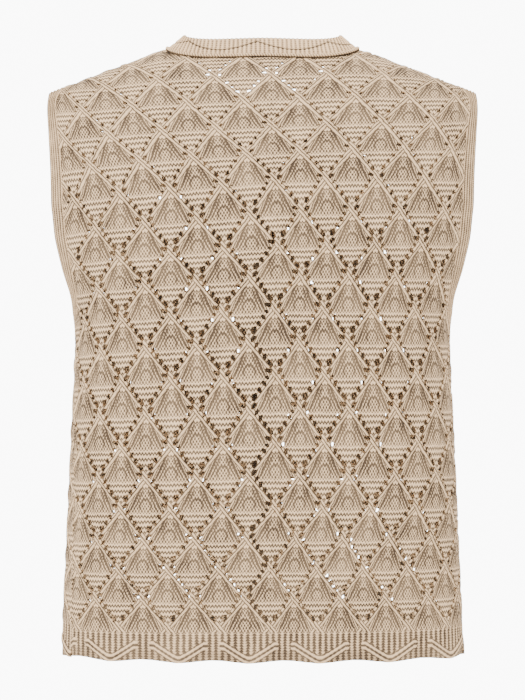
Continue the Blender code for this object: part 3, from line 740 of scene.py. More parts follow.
def open_gaps(points, outline, flat, ease):
    """Cells of the mesh that are gaps, and its points in the lattice, moved round the gaps."""
    rows, columns = points.shape[:2]
    removed = np.zeros((rows - 1, columns - 1), dtype=bool)
    moved = points.copy()
    taken = np.zeros((rows, columns), dtype=bool)
    (first_i, first_j), (last_i, last_j) = points[0, 0].astype(int), points[-1, -1].astype(int)
    centres = points[:-1, :-1] + 0.5
    half_i, half_j = CELLS_ACROSS // 2, CELLS_UP // 2
    tops = [
        (i * half_i, j * half_j)
        for i in range(first_i // half_i - 1, last_i // half_i + 2)
        for j in range(2, last_j // half_j + 3)
        if (i + j) % 2 == 0
    ]
    for top_i, top_j in tops:
        tight = ease * (1 - SHOULDER_EASE * ramp(top_j / CELLS_UP, *EASED_ROWS))
        for right, down, width, height, lean in GAPS:
            width, height = width * tight, height * tight
            at_i, at_j = top_i + right, top_j - down
            i, j = round(at_i - first_i), round(at_j - first_j)
            if not (0 <= i < columns and 0 <= j < rows and at_j >= 0.5):
                continue
            if to_outline(outline, flat[j, i][None])[0][0] < GAP_MARGIN:
                continue
            i0, i1 = max(i - GAP_WINDOW, 0), min(i + GAP_WINDOW, columns - 1)
            j0, j1 = max(j - GAP_WINDOW, 0), min(j + GAP_WINDOW, rows - 1)
            window = (slice(j0, j1), slice(i0, i1))
            rise = (centres[window][..., 1] - at_j) / (height / 2)
            side = (centres[window][..., 0] - at_i - lean * rise) / (width / 2)
            cells_in = side**2 + rise**2 < 1
            removed[window] |= cells_in
            around = np.zeros((j1 - j0 + 1, i1 - i0 + 1), dtype=int)
            for dj in (0, 1):
                for di in (0, 1):
                    around[dj : dj + j1 - j0, di : di + i1 - i0] += cells_in
            edge = (around > 0) & (around < 4)
            for dj, di in zip(*np.nonzero(edge)):
                spot = (j0 + dj, i0 + di)
                if taken[spot]:
                    continue
                away = moved[spot] - (at_i, at_j)
                rise = away[1] / (height / 2)
                radius = math.hypot((away[0] - lean * rise) / (width / 2), rise)
                moved[spot] = (at_i, at_j) + away * np.clip(1 / max(radius, TINY), *GAP_ROUNDING)
                taken[spot] = True
    return removed, moved


def touching(cells):
    """Vertices of a grid that touch these of its cells."""
    touched = np.zeros((cells.shape[0] + 1, cells.shape[1] + 1), dtype=bool)
    for j in (slice(None, -1), slice(1, None)):
        for i in (slice(None, -1), slice(1, None)):
            touched[j, i] |= cells
    return touched


def lace_sheet(name, form, lace, outline, columns, material):
    """One piece of lace: knitted flat with its gaps, trimmed to the outline, then worn."""
    low = math.floor(FIRST_ROW * CELLS_UP)
    shoulder_rows = (outline[:, 1].max() - ROLL_HEIGHT) / ROW_ON_SHOULDER
    high = math.ceil((SECTIONS[-1][1] + shoulder_rows + SPARE_ROWS) * CELLS_UP)
    rows, count = high - low + 1, columns[1] - columns[0] + 1
    bm, at_row, at_column = sheet_grid(rows, count)
    grid = np.meshgrid(np.arange(columns[0], columns[1] + 1), np.arange(low, high + 1))
    spots = np.stack(grid, -1).astype(float)

    def flat_of(places):
        return lace_flat(lace, places[..., 0] / CELLS_ACROSS, places[..., 1] / CELLS_UP)

    ease = FRONT_EASE if form.front else 1.0
    removed, moved = open_gaps(spots, outline, flat_of(spots), ease)
    flat = flat_of(moved)
    centres = (flat[:-1, :-1] + flat[1:, :-1] + flat[:-1, 1:] + flat[1:, 1:]) / 4
    outside = (depth_in_outline(outline, centres.reshape(-1, 2)) < 0).reshape(centres.shape[:2])
    removed |= outside
    edge = touching(outside) & touching(~removed)
    flat[edge] = to_outline(outline, flat[edge])[1]
    lace_column, lace_row = moved[..., 0] / CELLS_ACROSS, moved[..., 1] / CELLS_UP
    lift = WALL + lace_relief(lace_column, lace_row, flat[..., 0], flat[..., 1])
    points = form.place(flat[..., 0], flat[..., 1], lift)
    move_verts(bm, points[at_row, at_column])
    corner = np.array([
        (min(at_row[v.index] for v in face.verts), min(at_column[v.index] for v in face.verts))
        for face in bm.faces
    ])
    gone = removed[corner[:, 0], corner[:, 1]]
    spot = bm.verts.layers.int.new("spot")
    for index, vert in enumerate(bm.verts):
        vert[spot] = index
    doomed = [face for face, is_gone in zip(bm.faces, gone) if is_gone]
    bmesh.ops.delete(bm, geom=doomed, context="FACES")
    if form.front:
        bmesh.ops.reverse_faces(bm, faces=bm.faces)
    left = np.array([vert[spot] for vert in bm.verts])
    lace_map = np.stack([lace_column, lace_row], -1)[at_row, at_column][left]
    cloth_map = flat[at_row, at_column][left]
    obj = finished(name, bm, "lace_knit", material, lace=lace_map, cloth=cloth_map)
    upward, sideways = flat[1:, 1:] - flat[:-1, 1:], flat[1:, 1:] - flat[1:, :-1]
    cell = np.linalg.norm(upward, axis=-1) * np.linalg.norm(sideways, axis=-1)
    size = cloth_map.max(0) - cloth_map.min(0)
    min(float(cell[~outside].sum()), float(size.prod()))
    return walled(obj, WALL - SEAM_GAP)


def join_ends(obj, fill):
    """Joins the edges of a sheet that lie on each other, and may fill what is left open."""
    bm = bmesh.new()
    bm.from_mesh(obj.data)
    bmesh.ops.remove_doubles(bm, verts=bm.verts, dist=WELD)
    if fill:
        bmesh.ops.holes_fill(bm, edges=bm.edges, sides=0)
    bm.to_mesh(obj.data)
    bm.free()


def grid_piece(name, points, outward, material, map_name, along, aside):
    """A piece from a grid of points of its outer side, with its map along and across it."""
    bm, at_row, at_column = sheet_grid(*points.shape[:2])
    move_verts(bm, points[at_row, at_column])
    face_out(bm, outward[at_row, at_column])
    places = np.stack(np.broadcast_arrays(along, aside), -1)[at_row, at_column]
    return finished(name, bm, "rib_knit", material, **{map_name: places})


def band_sheet(name, points, outward, along, aside, material, closed=False):
    """A ribbed band from a grid of points of its outer side, along it and from its seam."""
    obj = grid_piece(name, points, outward, material, "rib", along, aside)
    if closed:
        join_ends(obj, fill=False)
    return walled(obj, BAND_WALL * 0.8)


def smooth_along(vectors):
    """Each vector averaged with its neighbours, at unit length."""
    padded = np.concatenate([vectors[:1], vectors, vectors[-1:]])
    return unit(padded[:-2] + 2 * padded[1:-1] + padded[2:])


def neck_frame():
    """Seam of the neckband, how it rises from the seam, and how it faces at and off the seam."""
    back, front = back_neck(), front_neck(0.0)[1:]
    seam = np.concatenate([BACK.place(*back.T), FRONT.place(*front.T)])
    normal = np.concatenate([BACK.normal(*back.T), FRONT.normal(*front.T)])
    mirror = np.array([-1, 1, 1])
    seam = np.concatenate([seam[:0:-1] * mirror, seam])
    normal = np.concatenate([normal[:0:-1] * mirror, normal])
    along = np.gradient(seam, axis=0)
    inward = unit(np.cross(smooth_along(normal), along))
    inward *= np.sign((inward * (np.array(NECK_MIDDLE) - seam)).sum(1))[:, None]
    stand = NECKBAND_STAND[0] * np.clip(1 - np.maximum(seam[:, 1], 0.0) / STAND_REACH, 0.0, 1.0)
    stand += NECKBAND_STAND[1] * np.clip(-seam[:, 1] / NECK_BACK_DEPTH, 0.0, 1.0)
    rise = unit(inward + stand[:, None] * np.array([0, 0, 1]))
    face = unit(np.cross(along, rise))
    face *= np.sign((face * normal).sum(1))[:, None]
    for _ in range(NECK_SMOOTHING):
        rise, face = smooth_along(rise), smooth_along(face)
    return seam, rise, normal, face


def neckband_sheet(name, material):
    """The ribbed band from the centre front round the back neck and to the front again."""
    together = np.concatenate(neck_frame(), axis=1)
    length = travelled(together[:, :3])
    along = np.linspace(0.0, length[-1], NECKBAND_ROWS)
    dense = along_line(together, length, along)
    seam, rise, normal, face = (dense[:, None, i : i + 3] for i in (0, 3, 6, 9))
    aside = np.linspace(SEAM_GAP, NECKBAND_WIDTH, NECKBAND_COLUMNS)
    turned = np.clip(3 * aside / NECKBAND_WIDTH, 0.0, 1.0)[None, :, None]
    outward = unit(normal + (face - normal) * turned)
    along = along - length[-1] / 2
    relief = rib_relief(along[:, None] / BAND_RIB_PITCH, NECKBAND_WIDTH - aside[None])
    stitch = np.exp(-(((aside[None] - zigzag(along)[:, None]) / ZIGZAG_HALF) ** 2))
    relief = relief - ZIGZAG_DEPTH * stitch * (np.abs(along) < ZIGZAG_REACH)[:, None]
    points = seam + rise * aside[None, :, None] + outward * (BAND_WALL + relief)[..., None]
    half = len(along) // 2
    points[:half, :, 0] = np.minimum(points[:half, :, 0], -SEAM_GAP / 2)
    points[half:, :, 0] = np.maximum(points[half:, :, 0], SEAM_GAP / 2)
    outward = np.broadcast_to(outward, points.shape)
    piece = band_sheet(name, points, outward, along[:, None], aside[None], material)
    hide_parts("neckband")


def armband_sheet(name, side, material):
    """The ribbed band round an armhole, down the back of it and up the front."""
    shares = np.linspace(0.0, 1.0, ARMBAND_COLUMNS)
    aside = shares * ARMBAND_WIDTH
    points, outward = [], []
    for form in (BACK, FRONT):
        seam, edge = armhole_seam(form, 0.0), armhole_edge(form)
        seam = seam + (edge - seam) * (2 * SEAM_GAP / ARMBAND_WIDTH)
        seam, edge = resampled(seam, ARMBAND_ROWS), resampled(edge, ARMBAND_ROWS)
        flat = seam[:, None] + (edge - seam)[:, None] * shares[None, :, None]
        relief = rib_relief(aside / EDGE_RIB_PITCH, ARMBAND_WIDTH - aside)
        order = slice(None) if form is BACK else slice(-2, None, -1)
        points.append(form.place(flat[..., 0], flat[..., 1], BAND_WALL + relief)[order])
        outward.append(form.normal(flat[..., 0], flat[..., 1])[order])
    mirror = np.array([side, 1, 1])
    points, outward = np.concatenate(points) * mirror, np.concatenate(outward) * mirror
    points[0] = points[-1] = (points[0] + points[-1]) / 2
    along = travelled(points[:, 0])[:, None]
    return band_sheet(name, points, outward, along, aside[None], material, closed=True)


def button_band_sheet(name, profile, material):
    """A front band; its profile is a row of (across, lift) of the wall's inner side."""
    edges = np.array(profile).T
    across = np.linspace(edges[0][0], edges[0][-1], BUTTON_BAND_COLUMNS)
    lift = np.interp(across, *edges)
    up = np.linspace(HEM, FRONT_NECK_UP, BUTTON_BAND_ROWS)
    across_grid, up_grid = np.meshgrid(across, up)
    from_edge = np.minimum(across - across[0], across[-1] - across)
    lift = lift + BAND_WALL + rib_relief((across - across[0]) / EDGE_RIB_PITCH, from_edge)
    points = FRONT.place(across_grid, up_grid, np.broadcast_to(lift, across_grid.shape))
    outward = FRONT.normal(across_grid, up_grid)
    return band_sheet(name, points, outward, up_grid - HEM, across_grid - across[0], material)


def rope_piece(name, material):
    """The twisted seam cord that lies on the foot of the neckband, from shoulder to shoulder."""
    seam, rise, _, face = neck_frame()
    behind = seam[:, 1] < ROPE_END
    seam, rise, face = seam[behind], rise[behind], face[behind]
    line = seam + rise * ROPE_RADIUS + face * (BAND_WALL + ROPE_RADIUS * 0.5)
    length = travelled(line)
    along = np.linspace(0.0, length[-1], ROPE_ROWS)
    middle = along_line(line, length, along)
    out = unit(along_line(face, length, along))
    beside = np.cross(unit(np.gradient(middle, axis=0)), out)
    around = np.linspace(0.0, 1.0, ROPE_COLUMNS)
    turn = 2 * math.pi * around
    twist = 2 * math.pi * along / ROPE_PITCH
    radius = ROPE_RADIUS * (1 + ROPE_PLY * np.cos(2 * turn[None] - twist[:, None]))
    to_end = np.minimum(along, length[-1] - along)
    radius = radius * np.sqrt(ramp(to_end, -ROPE_RADIUS / 4, ROPE_TAPER))[:, None]
    turn = turn[None, :, None]
    outward = out[:, None] * np.cos(turn) + beside[:, None] * np.sin(turn)
    points = middle[:, None] + outward * radius[..., None]
    obj = grid_piece(name, points, outward, material, "rope", along[:, None], around[None])
    join_ends(obj, fill=True)
    return obj


def button_shape():
    """A round button with a rim, a dish and four holes, and the thread through them."""
    bm = bmesh.new()
    profile = [bm.verts.new((radius, 0.0, height)) for radius, height in BUTTON_PROFILE]
    edges = [bm.edges.new(pair) for pair in zip(profile, profile[1:])]
    bmesh.ops.spin(
        bm, geom=profile + edges, cent=(0, 0, 0), axis=(0, 0, 1), angle=2 * math.pi,
        steps=BUTTON_STEPS, use_merge=True,
    )
    bmesh.ops.remove_doubles(bm, verts=bm.verts, dist=WELD)
    bmesh.ops.recalc_face_normals(bm, faces=bm.faces)
    blank = linked("button_blank", mesh_of("button_blank", bm))
    bm = bmesh.new()
    for angle in range(4):
        turn = math.pi / 4 + angle * math.pi / 2
        spot = Matrix.Translation((HOLE_SPREAD * math.cos(turn), HOLE_SPREAD * math.sin(turn), 0.0))
        bmesh.ops.create_cone(
            bm, cap_ends=True, segments=HOLE_SEGMENTS, radius1=HOLE_RADIUS, radius2=HOLE_RADIUS,
            depth=DRILL_LENGTH, matrix=spot,
        )
    drill = linked("button_drill", mesh_of("button_drill", bm))
    cut = blank.modifiers.new("holes", "BOOLEAN")
    cut.operation = "DIFFERENCE"
    cut.solver = "EXACT"
    cut.object = drill
    bpy.context.view_layer.update()
    drilled = blank.evaluated_get(bpy.context.evaluated_depsgraph_get())
    shape = bmesh.new()
    shape.from_mesh(drilled.to_mesh())
    drilled.to_mesh_clear()
    for obj in (blank, drill):
        mesh = obj.data
        bpy.data.objects.remove(obj)
        bpy.data.meshes.remove(mesh)
    body = len(shape.faces)
    reach = HOLE_SPREAD / math.sqrt(2)
    for side in (-reach, reach):
        ring = bmesh.ops.create_circle(
            shape, segments=THREAD_SEGMENTS, radius=THREAD_RADIUS,
            matrix=Matrix.Translation((reach, side, THREAD_SEAT)),
        )["verts"]
        rim = [edge for edge in shape.edges if all(vert in ring for vert in edge.verts)]
        bmesh.ops.spin(
            shape, geom=ring + rim, cent=(0, side, THREAD_SEAT), axis=(0, 1, 0),
            angle=-math.pi, steps=THREAD_STEPS,
        )
    thread = shape.faces[body:]
    for vert in {vert for face in thread for vert in face.verts}:
        if vert.co.z > THREAD_SEAT:
            vert.co.z = THREAD_SEAT + (vert.co.z - THREAD_SEAT) * THREAD_FLATNESS
    for face in thread:
        face.material_index = 1
    bmesh.ops.holes_fill(shape, edges=shape.edges, sides=0)
    bmesh.ops.recalc_face_normals(shape, faces=shape.faces)
    return shape


def button_piece(name, height, resin, thread):
    """A button sewn on the front bands at this height."""
    shape = button_shape()
    seat = Vector(FRONT.place(0.0, height, 2 * (BAND_WALL + SEAM_GAP)))
    turn = Vector(FRONT.normal(0.0, height)).to_track_quat("Z", "Y").to_matrix().to_4x4()
    bmesh.ops.transform(shape, matrix=Matrix.Translation(seat) @ turn, verts=shape.verts)
    obj = finished(name, shape, "button", resin)
    obj.data.materials.append(thread)
    return obj


# ---- Finishes ----

# Heights of the yarn, from 0 in a crevice to 1, and their tones: painted shade darkens the yarn's
# colour towards the crevices
CREVICE_SHADE_HEIGHTS = (0.30, 0.80)  # heights that are darkest and lightest
YARN_BUMP = 0.0016
YARN_ROUGHNESS = 0.92
YARN_SHEEN = 0.2
FUZZ = 0.3
MOTTLE = 0.35
STITCHES_IN_REPEAT = 16
ROWS_IN_REPEAT = 24
STRAND_ROUNDNESS = 0.55
STRAND_LEAN = 12.0  # how much the plait of a strand slants
PLAIT = 0.25  # how deep it is
GARTER_FROM = (0.56, 0.60)  # rows below the top crossing where the leaf turns into ridges
GARTER_ABOVE = (0.22, 0.16)  # and where ridges turn into the leaf
VEE_SHOWN = ((0.06, 0.12), (0.58, 0.48))  # rows in which the grooves begin and end
GROOVE = (0.034, 0.014)  # columns from the middle of a groove to its edge and its floor
INNER_GROOVE = (0.022, 0.008)
INNER_GROOVE_AWAY = 0.07  # columns between the two grooves
INNER_GROOVE_FROM = (0.18, 0.24)
FAN_PITCH = 0.050
EYE_RING = (0.32, 0.10)
EYE_FOOT = (0.56, 0.48)
CORD_TWIST = 400.0  # how much the stitches of the hem cords slant
ACROSS_BASE, ALONG_BASE = 0.28, 0.08  # height of the creases of ribs across and along a band
# the seam cord's painted shadow lies along its underside
ROPE_UNDERSIDE = 0.25  # how far round the cord its underside is


class Number:
    """One number that varies over a surface, with Python's arithmetic."""

    def __init__(self, finish, socket):
        self.finish = finish
        self.socket = socket

    def math(self, operation, *others):
        return self.finish.math(operation, self, *others)

    def __add__(self, other):
        return self.math("ADD", other)

    def __sub__(self, other):
        return self.math("SUBTRACT", other)

    def __rsub__(self, other):
        return self.finish.math("SUBTRACT", other, self)

    def __mul__(self, other):
        return self.math("MULTIPLY", other)

    def __truediv__(self, other):
        return self.math("DIVIDE", other)

    def __pow__(self, other):
        return self.math("POWER", other)

    def __abs__(self):
        return self.math("ABSOLUTE")

    __radd__ = __add__
    __rmul__ = __mul__

    def wave(self):
        """1 at whole numbers and 0 half-way between them."""
        return (self * (2 * math.pi)).math("COSINE") * 0.5 + 0.5

    def ramp(self, low, high):
        """0 up to low, 1 from high on, and smooth between; low may be the larger."""
        settings = {"interpolation_type": "SMOOTHSTEP"}
        ends = {"Value": self, "From Min": low, "From Max": high}
        if low > high:
            ends.update({"From Min": high, "From Max": low, "To Min": 1.0, "To Max": 0.0})
        return self.finish.node("ShaderNodeMapRange", settings, ends)

    def toward(self, other, share):
        """This number where share is 0 and the other where it is 1."""
        return self + (other - self) * share


class Finish:
    """A material that is written as expressions."""

    def __init__(self, name):
        self.material = bpy.data.materials.new(name)
        self.material.use_nodes = True
        self.tree = self.material.node_tree
        self.shader = self.tree.nodes["Principled BSDF"]

    def node(self, kind, settings=None, inputs=None, output=0):
        """A node with its settings set first, then its sockets' values or links."""
        made = self.tree.nodes.new(kind)
        for name, value in (settings or {}).items():
            setattr(made, name, value)
        for name, value in (inputs or {}).items():
            self.feed(made.inputs[name], value)
        return Number(self, made.outputs[output])

    def feed(self, socket, value):
        if isinstance(value, Number):
            self.tree.links.new(value.socket, socket)
        else:
            socket.default_value = value

    def math(self, operation, *values):
        return self.node("ShaderNodeMath", {"operation": operation}, dict(enumerate(values)))

    def map(self, name):
        """The two coordinates of a UV map."""
        vector = self.node("ShaderNodeUVMap", {"uv_map": name})
        split = self.tree.nodes.new("ShaderNodeSeparateXYZ")
        self.tree.links.new(vector.socket, split.inputs[0])
        return Number(self, split.outputs[0]), Number(self, split.outputs[1])

    def place(self):
        return self.node("ShaderNodeTexCoord", output=3)

    def noise(self, scale, detail=2.0):
        inputs = {"Vector": self.place(), "Scale": scale, "Detail": detail}
        return self.node("ShaderNodeTexNoise", None, inputs)

    def blend(self, share, first, second):
        ends = {0: share, 6: first, 7: second}
        return self.node("ShaderNodeMix", {"data_type": "RGBA"}, ends, output=2)

    def bump(self, height, distance):
        return self.node("ShaderNodeBump", None, {"Height": height, "Distance": distance})

    def surface(self, **inputs):
        for name, value in inputs.items():
            self.feed(self.shader.inputs[name.replace("_", " ")], value)
        return self.material

    def yarn(self, height, looks, shadow=1.0):
        """Finishes knitted cloth whose yarn stands this high, from 0 in a crevice to 1; painted
        shade darkens its colour towards the crevices, and darkens it more where shadow is below 1.
        """
        fuzz = self.noise(looks.yarn_scale * 6, 3.0)
        mottle = self.noise(looks.yarn_scale * 0.15)
        full = height * 0.85 + fuzz * FUZZ
        # painted shade: the lower the yarn stands, the nearer its colour comes to the crevice shade;
        # shadow darkens it more, and the mottle varies it at random
        tone = full.ramp(*CREVICE_SHADE_HEIGHTS) * shadow * 0.9 + (mottle - 0.5) * MOTTLE + 0.06
        colour = self.blend(least(most(tone, 0.0), 1.0), looks.crevice_shade, looks.light_yarn)
        normal = self.bump(full, YARN_BUMP)
        return self.surface(
            Base_Color=colour, Roughness=YARN_ROUGHNESS, Normal=normal, Specular_IOR_Level=YARN_SHEEN
        )


def least(first, second):
    return first.math("MINIMUM", second)


def most(first, second):
    return first.math("MAXIMUM", second)


def length_of(first, second):
    return (first * first + second * second).math("SQRT")


def whole_distance(value):
    """Distance to the nearest whole number."""
    return abs((value + 0.5).math("FRACT") - 0.5)


def corded(distance, along):
    """Where one diagonal of the lattice is, and how its two plaited strands stand out."""
    mask = distance.ramp(STRAND * 1.08, STRAND * 0.96)
    strands = (distance / STRAND + 0.5).wave() ** STRAND_ROUNDNESS
    plait = (along * ROWS_IN_REPEAT + distance * STRAND_LEAN).wave()
    return mask, strands * (plait * PLAIT + 0.80)


def lace_finish(looks):
    """Beige lace knit: corded diagonals, mossy leaves, garter ridges and a ribbed hem."""
    finish = Finish("lace_knit")
    column_at, row_at = finish.map("lace")
    across, up = finish.map("cloth")
    column_at = column_at + (finish.noise(looks.yarn_scale * 0.8, 1.0) - 0.5) * WANDER
    row_at = row_at + (finish.noise(looks.yarn_scale * 0.7, 1.0) - 0.5) * WANDER
    rising, falling = row_at + column_at, row_at - column_at
    part_rising, part_falling = rising.math("FRACT"), falling.math("FRACT")
    right = (part_rising - part_falling) * 0.5
    down = 1.0 - (part_rising + part_falling) * 0.5
    stitch = column_at * STITCHES_IN_REPEAT
    course = row_at * ROWS_IN_REPEAT

    over, upper_cord = corded(whole_distance(rising), falling)
    under, lower_cord = corded(whole_distance(falling), rising)
    under = under * (1.0 - over)
    cords = upper_cord.toward(lower_cord, under)

    bumps = (stitch * (2 * math.pi)).math("COSINE") * (course * math.pi).math("COSINE")
    moss = bumps * 0.5 + 0.48
    ripple = (stitch.wave() - 0.5) * 0.34
    garter = ((down / RIDGE_PITCH + ripple + 0.5).wave() ** 0.7) * 0.9 + moss * 0.1
    garters = most(down.ramp(*GARTER_FROM), down.ramp(*GARTER_ABOVE))
    past_vee = abs(right) - down * VEE_SLOPE
    fan = (past_vee / FAN_PITCH + 0.5).wave() ** 0.8 * 0.7 + moss * 0.3
    in_fan = past_vee.ramp(0.0, 0.02) * (1.0 - garters)
    leaf = moss.toward(garter, garters).toward(fan, in_fan)
    along_vee = down.ramp(*VEE_SHOWN[0]) * down.ramp(*VEE_SHOWN[1])
    dashes = (course.wave() * 0.5 + 0.6).math("MINIMUM", 1.0)
    groove = abs(past_vee).ramp(*GROOVE) * along_vee * dashes
    inner_groove = abs(past_vee + INNER_GROOVE_AWAY).ramp(*INNER_GROOVE) * along_vee
    inner_groove = inner_groove * down.ramp(*INNER_GROOVE_FROM)
    eye_distance = length_of(right / EYE_RADIUS, (down - EYE_DOWN) / EYE_RADIUS)
    eye_ring = abs(eye_distance - 1.0).ramp(*EYE_RING) * down.ramp(*EYE_FOOT)
    leaf = leaf * (1.0 - groove) * (1.0 - inner_groove * 0.7) * (1.0 - eye_ring * 0.55)
    lace = leaf.toward(cords, most(over, under))

    ribs = (column_at * RIBS_IN_REPEAT).wave()
    vein = (course + abs((column_at * RIBS_IN_REPEAT).math("FRACT") - 0.5)).wave()
    veins = ribs * 0.62 + vein * 0.34 - 0.06
    side = whole_distance((across - SCALLOP_SHIFT) / SCALLOP_PITCH) * SCALLOP_PITCH
    slope = CORD_RISE / CORD_REACH
    reach = least(side, CORD_REACH)
    bent = length_of(reach, CORD_BEND) - CORD_BEND
    level = bent * slope + (HEM + CORD_FOOT)
    drop = (level - up) / math.hypot(1.0, slope)
    past = most(side - CORD_REACH, 0.0)
    from_cord = length_of(drop, past)
    cord_mask = from_cord.ramp(CORD_HALF * 1.15, CORD_HALF * 0.85)
    hem_cords = (drop / CORD_HALF + 0.5).wave() * 0.8 + (course + drop * CORD_TWIST).wave() * 0.2
    hem = veins.toward(hem_cords, cord_mask)
    # painted shade in the recess of the hem below its cord
    below = drop.ramp(CORD_HALF * 0.5, CORD_HALF * 1.5) * (1.0 - cord_mask)
    ribbed = row_at.ramp(RIB_START, RIB_START - RIB_FADE)
    # the ribbed hem is a little darker all over, and the painted shade below its cord darkens it
    # more
    return finish.yarn(lace.toward(hem, ribbed), looks, 1.0 - ribbed * (below * 0.30 + 0.10))


def rib_finish(name, looks, ribs_along):
    """Beige ribbed band; ribs_along says that the ribs run along the band, not across it."""
    finish = Finish(name)
    along, aside = finish.map("rib")
    rib = aside / EDGE_RIB_PITCH if ribs_along else along / BAND_RIB_PITCH
    course = (along if ribs_along else aside) / COURSE_PITCH
    rib = rib + (finish.noise(looks.yarn_scale * 0.5, 1.0) - 0.5) * 0.25
    vein = (course + abs(rib.math("FRACT") - 0.5)).wave()
    height = rib.wave() ** 0.7 * 0.75 + vein * 0.25
    if not ribs_along:
        turn = whole_distance((along - ZIGZAG_SHIFT) / ZIGZAG_PITCH) * math.pi
        line = turn.math("SINE") * (ZIGZAG_VALLEY - ZIGZAG_PEAK) + ZIGZAG_PEAK
        near = abs(aside - line).ramp(ZIGZAG_HALF * 1.3, ZIGZAG_HALF * 0.3)
        near = near * abs(along).ramp(ZIGZAG_REACH, ZIGZAG_REACH - 0.004)
        height = height - near * 0.7
    return finish.yarn(height * 0.62 + (ALONG_BASE if ribs_along else ACROSS_BASE), looks)


def rope_finish(looks):
    """The twisted seam cord, with a painted shadow along its underside."""
    finish = Finish("seam_rope")
    along, around = finish.map("rope")
    bead = (along / ROPE_PITCH - around * 2.0).wave() ** 0.7
    # painted shadow along the underside of the cord, where it lies over the seam
    lower = abs(around - ROPE_UNDERSIDE).ramp(0.16, 0.08)
    return finish.yarn(bead * 0.7 + 0.3, looks, 1.0 - lower)


def resin_finish(colour):
    """Beige horn-like button resin with faint streaks."""
    finish = Finish("button_resin")
    settings = {"wave_type": "BANDS", "bands_direction": "DIAGONAL"}
    inputs = {"Vector": finish.place(), "Scale": 60.0, "Distortion": 6.0, "Detail": 3.0}
    streak = finish.node("ShaderNodeTexWave", settings, inputs, output=1)
    pale = [min(1.0, value * 1.25) for value in colour[:3]] + [1.0]
    deep = [value * 0.75 for value in colour[:3]] + [1.0]
    shade = finish.blend(streak * 0.7 + finish.noise(500.0) * 0.3, deep, pale)
    rough = finish.noise(800.0) * 0.15 + 0.28
    return finish.surface(Base_Color=shade, Roughness=rough, Coat_Weight=0.3)


def colour_property(name, description, colour):
    return FloatVectorProperty(
        name=name, description=description, subtype="COLOR", size=4, min=0.0, max=1.0,
        default=(*colour, 1.0),
    )


class CardiganLooks(bpy.types.PropertyGroup):
    light_yarn: colour_property(
        "Light Yarn", "Colour of the yarn where it stands out", (0.86, 0.585, 0.33)
    )
    # painted shade: the near-black brown that the yarn is painted in the crevices between the
    # stitches, where shade falls
    crevice_shade: colour_property(
        "Crevice Shade", "Colour of the yarn between the stitches", (0.062, 0.040, 0.024)
    )
    yarn_scale: FloatProperty(
        name="Yarn Scale", description="How many yarn hairs and flecks there are in a metre",
        min=50.0, max=2000.0, default=300.0,
    )
    button_colour: colour_property(
        "Button Colour", "Colour of the button resin", (0.55, 0.43, 0.30)
    )
    soft_light: FloatProperty(
        name="Soft Light", description="Strength of the light from all round",
        min=0.0, max=10.0, default=2.3,
    )
    key_power: FloatProperty(
        name="Key Light", description="Power of the light above and to the left",
        min=0.0, max=500.0, default=60.0, unit="POWER",
    )


def looks_of(context):
    return context.scene.cardigan_looks


class CARDIGAN_OT_lace(bpy.types.Operator):
    """Knit the back and both fronts in diamond leaf lace"""

    bl_idname = "cardigan.lace"
    bl_label = "Lace Panels"

    def execute(self, context):
        knit = lace_finish(looks_of(context))
        reach = COLUMNS_EACH_SIDE * CELLS_ACROSS
        halves = {"left": (-reach, 0), "right": (0, reach)}
        outline = back_outline()
        for name, columns in halves.items():
            piece = lace_sheet("lace_back_" + name, BACK, BACK_LACE, outline, columns, knit)
            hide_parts("back")
        for name, side in SIDES.items():
            outline = front_outline(side)
            piece = lace_sheet("lace_front_" + name, FRONT, FRONT_LACE, outline, halves[name], knit)
            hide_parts("front_" + name)
        return {"FINISHED"}


class CARDIGAN_OT_neckband(bpy.types.Operator):
    """Knit the standing neckband and the twisted cord along its seam"""

    bl_idname = "cardigan.neckband"
    bl_label = "Neckband"

    def execute(self, context):
        looks = looks_of(context)
        neckband_sheet("neckband_rib", rib_finish("neckband_rib", looks, False))
        rope_piece("neck_rope", rope_finish(looks))
        return {"FINISHED"}


class CARDIGAN_OT_armbands(bpy.types.Operator):
    """Knit the ribbed bands round the armholes"""

    bl_idname = "cardigan.armbands"
    bl_label = "Armbands"

    def execute(self, context):
        knit = rib_finish("armband_rib", looks_of(context), True)
        for name, side in SIDES.items():
            piece = armband_sheet("armband_rib_" + name, side, knit)
            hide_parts("armband_" + name)
        return {"FINISHED"}


class CARDIGAN_OT_button_bands(bpy.types.Operator):
    """Knit the two front bands, the right one over the left one"""

    bl_idname = "cardigan.button_bands"
    bl_label = "Button Bands"

    def execute(self, context):
        knit = rib_finish("button_band_rib", looks_of(context), True)
        raised = BAND_WALL + SEAM_GAP
        step = UNDER_BAND_EDGE + BAND_STEP
        profiles = {
            "left": [(-BAND_HALF, 0.0), (UNDER_BAND_EDGE, 0.0)],
            "right": [(-BAND_HALF, raised), (step, raised), (BAND_HALF + SEAM_GAP, SEAM_GAP)],
        }
        for name, profile in profiles.items():
            piece = button_band_sheet("button_band_rib_" + name, profile, knit)
            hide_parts("button_band_" + name)
        return {"FINISHED"}


class CARDIGAN_OT_buttons(bpy.types.Operator):
    """Sew five buttons on the front bands"""

    bl_idname = "cardigan.buttons"
    bl_label = "Buttons"

    def execute(self, context):
        looks = looks_of(context)
        resin = resin_finish(looks.button_colour)
        thread_finish = Finish("button_thread")
        thread = thread_finish.yarn(thread_finish.noise(looks.yarn_scale * 4), looks)
        heights = np.linspace(FRONT_NECK_UP - TOP_BUTTON_DROP, HEM + LAST_BUTTON_RISE, BUTTON_COUNT)
        for number, height in enumerate(heights, 1):
            piece = button_piece(f"sewn_button_{number}", height, resin, thread)
            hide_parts(f"button_{number}")
        return {"FINISHED"}


